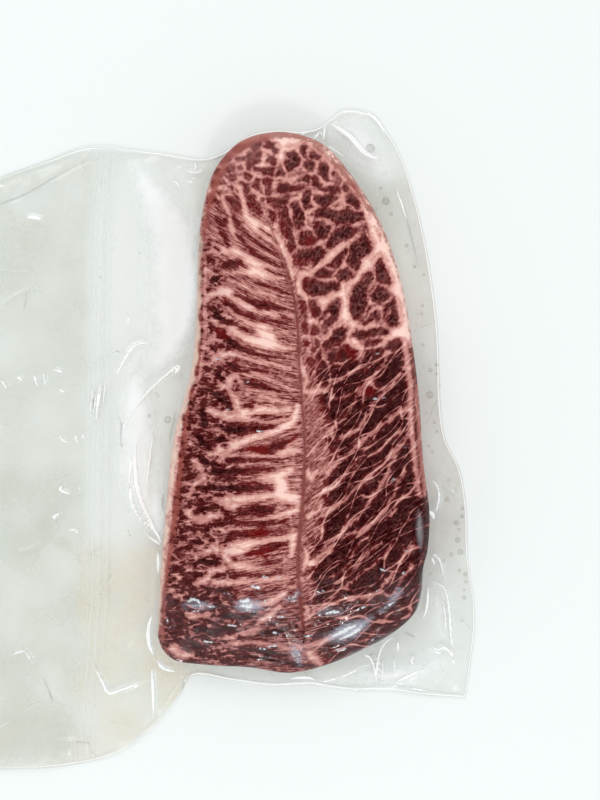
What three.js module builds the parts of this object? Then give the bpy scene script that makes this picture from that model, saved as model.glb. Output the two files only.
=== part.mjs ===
// A raw flat iron steak in its clear vacuum pouch, lying flat.
// Millimetres, +Z up. The origin is on the ground, under the middle of the pouch.
// The steak's narrow end points to +Y and its wide end to -Y. The pouch's mouth is at -X.
import * as THREE from "three";
import { mergeVertices } from "three/addons/utils/BufferGeometryUtils.js";

// Steak
const STEAK_THICKNESS = 22;
const STEAK_PLACE = [33, 13.5]; // the steak's middle, from the pouch's middle
const STEAK_COLUMNS = 112; // an even number, half of them down each side
const WIDE_END_START = -56; // where the top begins to fall towards the wide end
const WIDE_END_DROP = 7.5;
const WIDE_END_CURVE = 1.2; // above 1 the fall begins more gently
const NARROW_END_START = 58;
const NARROW_END_DROP = 3;
const END_FULL = 104; // how far from the middle both falls are complete
const SIDE_DROP = 1.6; // how much lower the top lies at the edge than along the seam
const SIDE_DROP_CURVE = 4; // the higher, the nearer to the edge the fall begins
const SHOULDER_NARROW_END = 4.5; // how far the top's edge lies inside the outline
const SHOULDER_WIDE_END = 7.5;
const SHOULDER_RUN = [-90, 40]; // the shoulder goes from wide to narrow between these
const FOOT_INSET = 3.5; // how far the flat underside lies inside the outline
const WIDEST_HEIGHT = 8.5;
const CORNER_SHARPNESS = 0.72; // 1 makes the rounded edge an ellipse, and less makes it squarer
const SEAM_DEPTH = 0.8;
const SEAM_HALF_WIDTH = 1.4;
const MUSCLE_CROWN = 0.7; // how far each muscle swells between the seam and the edge
const CROWN_SKEW = 0.8; // below 1 the swell is highest nearer to the seam
const OUTLINE_SAMPLES = 1440;
const SPLINE_TENSION = 0.5;
// The steak's rows of points, as shares: of the groove's half width, of the way over the top,
// of the turn round the side from 1 at the top to -1 underneath, and of the way under the steak
const GROOVE_ROWS = [0, 0.5, 1];
const GROOVE_SHARE_MOST = 0.09;
const TOP_ROWS = [0.1, 0.2, 0.32, 0.44, 0.56, 0.67, 0.77, 0.86, 0.94];
const SIDE_ROWS = [1, 0.84, 0.66, 0.46, 0.22, 0, -0.3, -0.62, -1];
const FOOT_ROWS = [0.6, 0];

// The steak's outline from above, from its narrow tip down the left side and up the right side
const LEFT_EDGE = [
  [-8, 101],
  [-20, 97.5],
  [-29.5, 87],
  [-34, 72],
  [-35.5, 57.5],
  [-36, 42.5],
  [-36.5, 27.5],
  [-38, 13.5],
  [-41, 1.5],
  [-44.5, -11.5],
  [-46.5, -26.5],
  [-48, -43.5],
  [-49.5, -62],
  [-50.5, -78.5],
  [-50.5, -88.5],
  [-45, -95.5],
  [-33, -97.5],
  [-16.5, -98.5],
];
const RIGHT_EDGE = [
  [-1.5, -100.5],
  [13.5, -97],
  [29, -90],
  [38, -84.5],
  [45, -77.5],
  [47.5, -69],
  [48, -61],
  [49.8, -53],
  [50.3, -39.5],
  [48, -21],
  [46.5, 1.5],
  [44, 22],
  [40.5, 42.5],
  [35, 60.5],
  [28.5, 74],
  [19.5, 87.5],
  [11.5, 96],
  [2.5, 100],
];

// The gristle seam that divides the two muscles, from the narrow end to the wide end
const SEAM = [
  [-13, 71],
  [-7.5, 61],
  [-2, 47],
  [1, 32],
  [2, 14],
  [3, 0],
  [4, -17],
  [3, -37],
  [1.5, -58],
  [3, -78],
  [5, -90],
];

// Pouch
const FILM = 1; // the two films together, thicker than life
const GAP = 0.3; // between the films and the meat
const WEB_REACH = 9; // how far out the upper film comes down from the meat to the lower film
const WEB_SHARE_MOST = 0.5; // of the film beside the meat, however narrow
const POUCH_STEP = 6; // spacing of points along the pouch's edge
const WEB_ROWS = [0.25, 0.5, 0.75, 1]; // shares of the web's reach
const SKIRT_ROWS = 6; // rows of points from the web to the pouch's edge
const POCKET_TURNS = [-1, -0.62, -0.3, 0]; // rows up the wall of the pocket that holds the meat
const RIPPLE = 1.2; // how high the loose film stands off the ground
const RIPPLE_LENGTH = 52;
const RIPPLE_WANDER = { by: 9, rate: 0.7 }; // the crests swing from side to side
const RIPPLE_ACROSS = { rate: 0.8, slant: 0.4 }; // and are crossed by slower, slanting ones
const RIPPLE_START = 6; // no ripples nearer to the meat than this
const RIPPLE_FULL = 30;
// The pocket of air beside the steak: its middle line from one end to the other, and its size
const AIR_POCKET = { from: [-27, 22], to: [-33, -68], halfWidth: 11, height: 4.5 };
const AIR_FADE = 8; // the pocket dies out this near to the meat and to the pouch's edge

// The pouch's edge, each run from corner to corner, anticlockwise from the mouth
const MOUTH_EDGE = [
  [-102, 91],
  [-102, -126],
];
const LOWER_EDGE = [
  [-102, -126],
  [-79, -126],
  [-56, -125],
  [-36, -120.5],
  [-22, -110.5],
  [-11, -98],
  [-5.5, -90.5],
  [9, -92.5],
  [24, -94.5],
  [39, -94],
  [54, -96],
  [69.5, -96],
  [85, -98],
  [98.5, -99],
];
const SEALED_END = [
  [98.5, -99],
  [101, -82],
  [102, -65],
  [99.5, -46],
  [99, -27],
  [96.5, -12],
  [91, 0],
  [89, 15],
  [88, 41.5],
  [84.5, 68],
  [79, 93],
  [72.5, 111],
  [64, 124],
];
const UPPER_EDGE = [
  [64, 124],
  [52.5, 126],
  [43.5, 120],
  [36, 118],
  [25.5, 118.5],
  [16, 116.5],
  [7.5, 111],
  [-3, 107.5],
  [-22, 110],
  [-45, 111.5],
  [-62, 106.5],
  [-79, 100.5],
  [-102, 91],
];

const MEAT_COLOUR = 0x7d3a38;
const FILM_COLOUR = 0xe6ebe8;
const JOIN_WITHIN = 1e-4; // vertices nearer than this become one
const SAMPLES_PER_POINT = 40; // for measuring along a run

const vector = ([x, y]) => new THREE.Vector2(x, y);
const { clamp, lerp, smoothstep } = THREE.MathUtils;

// Points spread evenly along a smooth run through the given points
function evenly(run, steps) {
  const curve = new THREE.SplineCurve(run.map(vector));
  curve.arcLengthDivisions = SAMPLES_PER_POINT * run.length;
  return curve.getSpacedPoints(steps);
}

// A closed ring of points, each with the direction that points out of the ring
function ringOf(points) {
  const last = points.length - 1;
  return points.map((at, i) => {
    const before = points[i === 0 ? last : i - 1];
    const after = points[i === last ? 0 : i + 1];
    const along = after.clone().sub(before).normalize();
    return { at, out: new THREE.Vector2(along.y, -along.x) };
  });
}

// The steak's outline, anticlockwise, as one closed smooth curve
const outline = new THREE.CatmullRomCurve3(
  [...LEFT_EDGE, ...RIGHT_EDGE].map(([x, y]) => new THREE.Vector3(x, y, 0)),
  true,
  "catmullrom",
  SPLINE_TENSION,
);
outline.arcLengthDivisions = OUTLINE_SAMPLES;
const outlinePoints = outline
  .getSpacedPoints(OUTLINE_SAMPLES)
  .slice(0, OUTLINE_SAMPLES)
  .map(({ x, y }) => new THREE.Vector2(x, y));
const steakRing = ringOf(outlinePoints);

// How far inside the outline the top's edge lies, growing from the narrow end to the wide end
function shoulder(y) {
  return lerp(SHOULDER_WIDE_END, SHOULDER_NARROW_END, smoothstep(y, ...SHOULDER_RUN));
}

// The height of the steak's top, with its two lower ends
function topHeight(y) {
  const wide = smoothstep(-y, -WIDE_END_START, END_FULL) ** WIDE_END_CURVE * WIDE_END_DROP;
  const narrow = smoothstep(y, NARROW_END_START, END_FULL) * NARROW_END_DROP;
  return STEAK_THICKNESS - wide - narrow;
}

// The rounded side: turn runs from 1 at the top's edge over 0 at the widest line to -1 underneath
function sideOf({ at, out }, turn, grow = 0) {
  const angle = (turn * Math.PI) / 2;
  const rise = Math.abs(Math.sin(angle)) ** CORNER_SHARPNESS;
  const reach = 1 - Math.abs(Math.cos(angle)) ** CORNER_SHARPNESS;
  const inset = turn > 0 ? shoulder(at.y) : FOOT_INSET;
  const place = at.clone().addScaledVector(out, grow - inset * reach);
  const end = turn > 0 ? topHeight(place.y) - SIDE_DROP : FILM + GAP;
  return new THREE.Vector3(place.x, place.y, lerp(WIDEST_HEIGHT, end, rise));
}

// Bends a flat grid into a closed skin: columns go round it, and rows from its top to its underside
function wrap(columns, rows, place) {
  const grid = new THREE.PlaneGeometry(1, 1, columns, rows);
  const position = grid.getAttribute("position");
  for (let i = 0; i < position.count; i += 1) {
    const column = i % (columns + 1);
    const row = Math.floor(i / (columns + 1));
    const at = place(column % columns, row);
    position.setXYZ(i, at.x, at.y, at.z);
  }
  return closed(grid);
}

// The same, where the first and the last row each shrink to one point
function wrapToPoints(columns, rows, place) {
  const ball = new THREE.SphereGeometry(1, columns, rows);
  const position = ball.getAttribute("position");
  for (let i = 0; i < position.count; i += 1) {
    const column = i % (columns + 1);
    const row = Math.floor(i / (columns + 1));
    const at = place(column % columns, row);
    position.setXYZ(i, at.x, at.y, at.z);
  }
  return closed(ball);
}

// Joins the vertices that meet, so that the skin has no open edge
function closed(geometry) {
  geometry.deleteAttribute("uv");
  geometry.deleteAttribute("normal");
  const joined = mergeVertices(geometry, JOIN_WITHIN);
  joined.computeVertexNormals();
  return joined;
}

// One column of the steak for each place round its outline, paired across the seam
function steakColumns() {
  const half = STEAK_COLUMNS / 2;
  const wideTip = outlinePoints.reduce((low, at, i) => (at.y < outlinePoints[low].y ? i : low), 0);
  const narrowTip = outlinePoints.reduce((top, at, i) => (at.y > outlinePoints[top].y ? i : top), 0);
  const down = (wideTip - narrowTip + OUTLINE_SAMPLES) % OUTLINE_SAMPLES;
  const up = OUTLINE_SAMPLES - down;
  const seam = evenly(SEAM, half);
  return Array.from({ length: STEAK_COLUMNS }, (_, k) => {
    const step = k <= half ? (k / half) * down : down + ((k - half) / half) * up;
    const ring = steakRing[Math.round(narrowTip + step) % OUTLINE_SAMPLES];
    return { ring, seam: seam[k <= half ? k : STEAK_COLUMNS - k] };
  });
}

// The top between the seam and its edge: share is 0 on the seam and 1 at the edge
function topOf({ ring, seam }, share) {
  const edge = sideOf(ring, 1);
  const x = lerp(seam.x, edge.x, share);
  const y = lerp(seam.y, edge.y, share);
  const away = Math.hypot(x - seam.x, y - seam.y);
  const groove = SEAM_DEPTH * (1 - smoothstep(away, 0, SEAM_HALF_WIDTH));
  const crown = MUSCLE_CROWN * Math.sin(Math.PI * share ** CROWN_SKEW);
  return new THREE.Vector3(x, y, topHeight(y) - SIDE_DROP * share ** SIDE_DROP_CURVE + crown - groove);
}

function steakGeometry() {
  const columns = steakColumns();
  const rows = [
    ...GROOVE_ROWS.map((share) => (c) => {
      const length = sideOf(c.ring, 1).distanceTo(new THREE.Vector3(c.seam.x, c.seam.y, topHeight(c.seam.y)));
      return topOf(c, Math.min((share * SEAM_HALF_WIDTH) / length, GROOVE_SHARE_MOST));
    }),
    ...TOP_ROWS.map((share) => (c) => topOf(c, share)),
    ...SIDE_ROWS.map((turn) => (c) => sideOf(c.ring, turn)),
    ...FOOT_ROWS.map((share) => (c) => {
      const edge = sideOf(c.ring, -1);
      return new THREE.Vector3(lerp(c.seam.x, edge.x, share), lerp(c.seam.y, edge.y, share), edge.z);
    }),
  ];
  return wrap(STEAK_COLUMNS, rows.length - 1, (column, row) => rows[row](columns[column]));
}

// The pouch's edge in the steak's own coordinates, with a point on each corner
function pouchEdge() {
  const runs = [MOUTH_EDGE, LOWER_EDGE, SEALED_END, UPPER_EDGE];
  return runs.flatMap((run) => {
    const length = new THREE.SplineCurve(run.map(vector)).getLength();
    return evenly(run, Math.round(length / POUCH_STEP)).slice(0, -1);
  });
}

// The place on the steak's outline that lies in the same direction as a point of the pouch's edge
function facing(point) {
  const turn = (a, b) => Math.abs(Math.atan2(a.x * b.y - a.y * b.x, a.dot(b)));
  return steakRing.reduce((best, here) => (turn(here.at, point) < turn(best.at, point) ? here : best));
}

// How high the loose lower film stands off the ground, by its distance from the meat
function ripple(x, y, away) {
  const turn = (2 * Math.PI) / RIPPLE_LENGTH;
  const crest = Math.sin(turn * (x + RIPPLE_WANDER.by * Math.sin(turn * RIPPLE_WANDER.rate * y)));
  const across = Math.cos(turn * RIPPLE_ACROSS.rate * (y - RIPPLE_ACROSS.slant * x));
  return ((RIPPLE * (1 + crest * across)) / 2) * smoothstep(away, RIPPLE_START, RIPPLE_FULL);
}

// How far the upper film is lifted by the pocket of air
function airPocket(x, y) {
  const { from, to, halfWidth, height } = AIR_POCKET;
  const along = clamp((y - from[1]) / (to[1] - from[1]), 0, 1);
  const across = (x - lerp(from[0], to[0], along)) / halfWidth;
  const past = Math.max(y - from[1], to[1] - y, 0) / halfWidth;
  return height * Math.exp(-(across ** 2) - past ** 2);
}

function pouchGeometry() {
  const [middleX, middleY] = STEAK_PLACE;
  const columns = pouchEdge().map((edge) => {
    const local = edge.clone().sub(vector(STEAK_PLACE));
    const ring = facing(local);
    const wall = ring.at.clone().addScaledVector(ring.out, GAP);
    return { ring, wall, edge: local, reach: local.distanceTo(wall) };
  });

  // A point of the two films, at a share of the way from the meat to the pouch's edge
  const skirt = ({ wall, edge, reach }, share, upper) => {
    const x = lerp(wall.x, edge.x, share) + middleX;
    const y = lerp(wall.y, edge.y, share) + middleY;
    const away = share * reach;
    const web = Math.max(1 - away / Math.min(WEB_REACH, reach), 0) ** 2 * (WIDEST_HEIGHT - FILM);
    const base = ripple(x, y, away);
    const puff = airPocket(x, y) * smoothstep(away, 0, AIR_FADE) * smoothstep(reach - away, 0, AIR_FADE);
    return new THREE.Vector3(x, y, upper ? base + FILM + web + puff : base);
  };

  // The wall of the pocket that holds the meat, from the pocket's floor to the widest line
  const pocket = ({ ring }, turn) => {
    const at = sideOf(ring, turn, GAP);
    return new THREE.Vector3(at.x + middleX, at.y + middleY, turn === -1 ? FILM : at.z);
  };

  const webShare = ({ reach }) => Math.min(WEB_REACH / reach, WEB_SHARE_MOST);
  const webRows = WEB_ROWS.map((part) => (c) => part * webShare(c));
  const outwards = (row) => (c) => lerp(webShare(c), 1, (row + 1) / SKIRT_ROWS);
  const skirtRows = Array.from({ length: SKIRT_ROWS }, (_, row) => outwards(row));
  const rows = [
    () => new THREE.Vector3(middleX, middleY, FILM),
    ...POCKET_TURNS.map((turn) => (c) => pocket(c, turn)),
    ...[...webRows, ...skirtRows].map((share) => (c) => skirt(c, share(c), true)),
    ...[...webRows.slice(-1), ...skirtRows].toReversed().map((share) => (c) => skirt(c, share(c), false)),
    () => new THREE.Vector3(middleX, middleY, 0),
  ];
  return wrapToPoints(columns.length, rows.length - 1, (column, row) => rows[row](columns[column]));
}

const steak = new THREE.Mesh(
  steakGeometry(),
  new THREE.MeshStandardMaterial({ color: MEAT_COLOUR, roughness: 0.45, metalness: 0 }),
);
steak.name = "steak";
steak.position.set(...STEAK_PLACE, 0);

const pouch = new THREE.Mesh(
  pouchGeometry(),
  new THREE.MeshStandardMaterial({
    color: FILM_COLOUR,
    roughness: 0.15,
    metalness: 0,
    transparent: true,
    opacity: 0.35,
  }),
);
pouch.name = "vacuum_pouch";

const pack = new THREE.Group();
pack.add(steak, pouch);

export default pack;
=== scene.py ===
# %% [markdown]
# # A raw flat iron steak in its clear pouch
#
# The real thing is a flat slab of marbled beef, two muscles along a gristle seam, sealed under vacuum in
# clear film. The film hugs the meat, leaves it at its widest line and lies loose and rippled round it. This
# lesson builds the meat as one closed skin, draws its marbling in numbers, and lays the films over it.
# Lengths are in millimetres in the numbers below, and turn into metres when a mesh is made.

import bpy
import numpy as np
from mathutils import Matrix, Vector


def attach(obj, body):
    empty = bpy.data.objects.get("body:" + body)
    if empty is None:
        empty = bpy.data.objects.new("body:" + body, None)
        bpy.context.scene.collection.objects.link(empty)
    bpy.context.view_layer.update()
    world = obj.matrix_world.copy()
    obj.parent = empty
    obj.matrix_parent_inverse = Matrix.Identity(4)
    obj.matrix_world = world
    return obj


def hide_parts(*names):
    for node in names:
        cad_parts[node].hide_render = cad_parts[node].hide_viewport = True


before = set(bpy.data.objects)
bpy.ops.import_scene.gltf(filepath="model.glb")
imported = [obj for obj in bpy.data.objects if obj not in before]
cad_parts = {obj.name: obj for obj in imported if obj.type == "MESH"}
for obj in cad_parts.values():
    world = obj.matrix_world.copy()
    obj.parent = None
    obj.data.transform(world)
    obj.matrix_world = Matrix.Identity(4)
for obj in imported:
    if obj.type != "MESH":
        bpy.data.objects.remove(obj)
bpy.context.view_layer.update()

MM = 0.001

# %% [markdown]
# ## Smooth runs and distances
#
# Everything here follows given lines: the outline, the seam, the veins of fat, the creases in the film.
# So two tools come first: one turns a few points into a smooth line, the other measures how far a place is
# from it.


# %% Smooth runs
def eased(x, low, high):
    """The share of the way from low to high, held between 0 and 1, with soft ends: 3t² - 2t³."""
    t = np.clip((x - low) / (high - low), 0, 1)
    return t * t * (3 - 2 * t)


def lerp(a, b, share):
    """The value a share of the way from a to b."""
    return a + (b - a) * share


def smooth_run(points, steps, closed=False):
    """A Catmull-Rom line through the points, cut into steps of equal length, both ends kept.
    Between two points it is the cubic that passes both with the slopes of their neighbours' chords."""
    p = np.asarray(points, float)
    count = len(p) if closed else len(p) - 1
    four = np.arange(count)[:, None] + np.arange(-1, 3)
    four = four % len(p) if closed else np.clip(four, 0, len(p) - 1)
    t = np.linspace(0, 1, 24, endpoint=False)[:, None]
    weights = 0.5 * np.hstack(
        [
            -t + 2 * t**2 - t**3,
            2 - 5 * t**2 + 3 * t**3,
            t + 4 * t**2 - 3 * t**3,
            -(t**2) + t**3,
        ]
    )
    fine = np.einsum("tk,skd->std", weights, p[four]).reshape(-1, p.shape[1])
    fine = np.vstack([fine, p[0] if closed else p[-1]])
    length = np.r_[0, np.cumsum(np.hypot(*np.diff(fine[:, :2], axis=0).T))]
    want = np.linspace(0, length[-1], steps + 1)
    return np.stack([np.interp(want, length, column) for column in fine.T], axis=1)


def inside_of(xy, stroke):
    """How far inside a stroke each place lies: the stroke's half width less the distance to its line.
    Each place is dropped onto every straight bit of the line, and the best bit counts."""
    if len(stroke) > 1:
        run = smooth_run(stroke, 4 * len(stroke))
    else:
        run = np.array(stroke * 2, float)
    best = np.full(len(xy), -1e9)
    for a, b in zip(run[:-1], run[1:]):
        along = b[:2] - a[:2]
        share = np.clip((xy - a[:2]) @ along / max(along @ along, 1e-9), 0, 1)
        gap = np.hypot(*(xy - a[:2] - share[:, None] * along).T)
        best = np.maximum(best, lerp(a[2], b[2], share) - gap)
    return best


def close_to(xy, stroke, reach):
    """The numbers of the places inside the box round a stroke, widened by the reach on every side."""
    line = np.asarray(stroke, float)[:, :2]
    low, high = line.min(axis=0) - reach, line.max(axis=0) + reach
    return np.flatnonzero(np.all((xy > low) & (xy < high), axis=1))


def paint(field, xy, strokes, fat=True, grow=0.0, reach=5.0):
    """Lays strokes into a field of millimetres: above 0 is inside fat, and below 0 inside lean.
    A fat stroke raises the field to its own depth, and a lean stroke lowers it. Each can grow in width."""
    for stroke in strokes:
        near = close_to(xy, stroke, reach)
        depth = inside_of(xy[near], stroke) + grow
        field[near] = np.maximum(field[near], depth) if fat else np.minimum(field[near], -depth)
    return field


def field_of(strokes, xy, outside, **how):
    """A new field with strokes laid into it, which holds one depth everywhere outside them."""
    return paint(np.full(len(xy), outside), xy, strokes, **how)


def soft_noise(x, y, length, seed, count=10):
    """A smooth random height of about -1 to 1: a sum of sine waves of like length in random directions."""
    dice = np.random.default_rng(seed)
    turn, start = dice.uniform(0, 2 * np.pi, (2, count))
    wave = 2 * np.pi / (length * dice.uniform(0.7, 1.4, count))
    phase = (x[..., None] * np.cos(turn) + y[..., None] * np.sin(turn)) * wave + start
    return np.sin(phase).sum(-1) / np.sqrt(count)


# %% [markdown]
# ## The steak's shape
#
# A flat iron steak is a thick slab with a rounded side. Its outline is a closed line through named points.
# The skin is a grid: columns go round the outline, and each runs from the seam out to the edge, down the
# rounded side and back underneath. The same formulas shape the solid, so the two agree.

# %% Outline and seam
STEAK_THICKNESS = 22.0
STEAK_PLACE = np.array([33.0, 13.5])
WIDE_END_START, WIDE_END_DROP = -56.0, 7.5
NARROW_END_START, NARROW_END_DROP = 58.0, 3.0
END_FULL = 104.0
SIDE_DROP = 1.6
SHOULDER_NARROW_END, SHOULDER_WIDE_END = 4.5, 7.5
FOOT_INSET = 3.5
WIDEST_HEIGHT = 8.5
CORNER_SHARPNESS = 0.72
SEAM_DEPTH, SEAM_HALF_WIDTH = 0.8, 1.4
MUSCLE_CROWN = 0.7
FLOOR_OF_POCKET = 1.3

EDGE = [
    (-8, 101), (-20, 97.5), (-29.5, 87), (-34, 72), (-35.5, 57.5), (-36, 42.5), (-36.5, 27.5),
    (-38, 13.5), (-41, 1.5), (-44.5, -11.5), (-46.5, -26.5), (-48, -43.5), (-49.5, -62), (-50.5, -78.5),
    (-50.5, -88.5), (-45, -95.5), (-33, -97.5), (-16.5, -98.5), (-1.5, -100.5), (13.5, -97), (29, -90),
    (38, -84.5), (45, -77.5), (47.5, -69), (48, -61), (49.8, -53), (50.3, -39.5), (48, -21), (46.5, 1.5),
    (44, 22), (40.5, 42.5), (35, 60.5), (28.5, 74), (19.5, 87.5), (11.5, 96), (2.5, 100),
]
SEAM = [
    (-13, 71), (-7.5, 61), (-2, 47), (1, 32), (2, 14), (3, 0), (4, -17), (3, -37), (1.5, -58), (3, -78),
    (5, -90),
]

OUTLINE_STEPS = 1440
ring = smooth_run(EDGE, OUTLINE_STEPS, closed=True)[:-1]
ring = np.roll(ring, -int(np.argmax(ring[:, 1])), axis=0)
along = np.roll(ring, -1, axis=0) - np.roll(ring, 1, axis=0)
outward = np.stack([along[:, 1], -along[:, 0]], axis=1) / np.hypot(*along.T)[:, None]
print("the outline is", round(float(np.hypot(*np.diff(ring, axis=0).T).sum())), "mm round")


# %% [markdown]
# ## The top and the rounded side
#
# The slab is nearly level and falls softly at both ends. Its side bulges most a little below half height,
# where the film leaves it. A squared-off ellipse gives that bulge with one number for how sharp its corners
# are.

# %% Heights and the rounded side
def top_height(y):
    """The slab's height, less a soft fall towards each end."""
    wide = eased(-y, -WIDE_END_START, END_FULL) ** 1.2 * WIDE_END_DROP
    narrow = eased(y, NARROW_END_START, END_FULL) * NARROW_END_DROP
    return STEAK_THICKNESS - wide - narrow


def side_of(at, out, turn, grow=0.0):
    """The rounded side as a squared-off ellipse: turn is 1 at the top's edge, 0 at the widest line, -1 below.
    Its height follows |sin|^s and its reach |cos|^s of a quarter turn, where s is the corner's sharpness."""
    angle = turn * np.pi / 2
    rise = abs(np.sin(angle)) ** CORNER_SHARPNESS
    reach = 1 - abs(np.cos(angle)) ** CORNER_SHARPNESS
    shoulder = lerp(SHOULDER_WIDE_END, SHOULDER_NARROW_END, eased(at[:, 1], -90, 40))
    inset = shoulder if turn > 0 else np.full(len(at), FOOT_INSET)
    place = at + out * (grow - inset * reach)[:, None]
    end = top_height(place[:, 1]) - SIDE_DROP if turn > 0 else np.full(len(at), FLOOR_OF_POCKET)
    return np.column_stack([place, lerp(WIDEST_HEIGHT, end, rise)])


def top_of(edge, seam, share):
    """The top a share of the way from the seam to its edge: the slab's height, the muscle's swell
    sin(pi share^0.8), a fall share^4 at the side and a groove along the seam."""
    place = lerp(seam, edge[:, :2], share)
    away = np.hypot(*(place - seam).T)
    groove = SEAM_DEPTH * (1 - eased(away, 0, SEAM_HALF_WIDTH))
    crown = MUSCLE_CROWN * np.sin(np.pi * share**0.8)
    return np.column_stack([place, top_height(place[:, 1]) - SIDE_DROP * share**4 + crown - groove])


print("the slab is", STEAK_THICKNESS, "mm thick, and", top_height(-END_FULL), "mm at the wide end")

# %% [markdown]
# ## One grid for the whole skin
#
# Half of the columns start at the narrow tip and run down the left side, and half come back up the right
# one. Each is paired with the column across the seam that starts at the same place, so that the skin closes
# there.

# %% The grid of the steak
STEAK_COLUMNS = 720
half = STEAK_COLUMNS // 2
wide_tip = int(np.argmin(ring[:, 1]))
down = np.linspace(0, wide_tip, half, endpoint=False)
up = np.linspace(wide_tip, OUTLINE_STEPS, half, endpoint=False)
pick = np.round(np.r_[down, up]).astype(int) % OUTLINE_STEPS
column_at, column_out = ring[pick], outward[pick]
seam_line = smooth_run(SEAM, half)
paired = np.minimum(np.arange(STEAK_COLUMNS), STEAK_COLUMNS - np.arange(STEAK_COLUMNS))
column_seam = seam_line[paired]

TOP_SHARES = np.linspace(0, 1, 79)
SIDE_TURNS = np.r_[np.linspace(1, 0, 17)[1:], np.linspace(0, -1, 9)[1:]]
FOOT_SHARES = np.linspace(1, 0, 11)[1:]

edge_of_top = side_of(column_at, column_out, 1.0)
foot = side_of(column_at, column_out, -1.0)
rows = [top_of(edge_of_top, column_seam, share) for share in TOP_SHARES]
rows += [side_of(column_at, column_out, turn) for turn in SIDE_TURNS]
rows += [np.column_stack([lerp(column_seam, foot[:, :2], share), foot[:, 2]]) for share in FOOT_SHARES]
steak_grid = np.stack(rows)
TOP_ROWS = len(TOP_SHARES)
print("the steak's grid has", steak_grid.shape[0], "rows of", steak_grid.shape[1])
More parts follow.
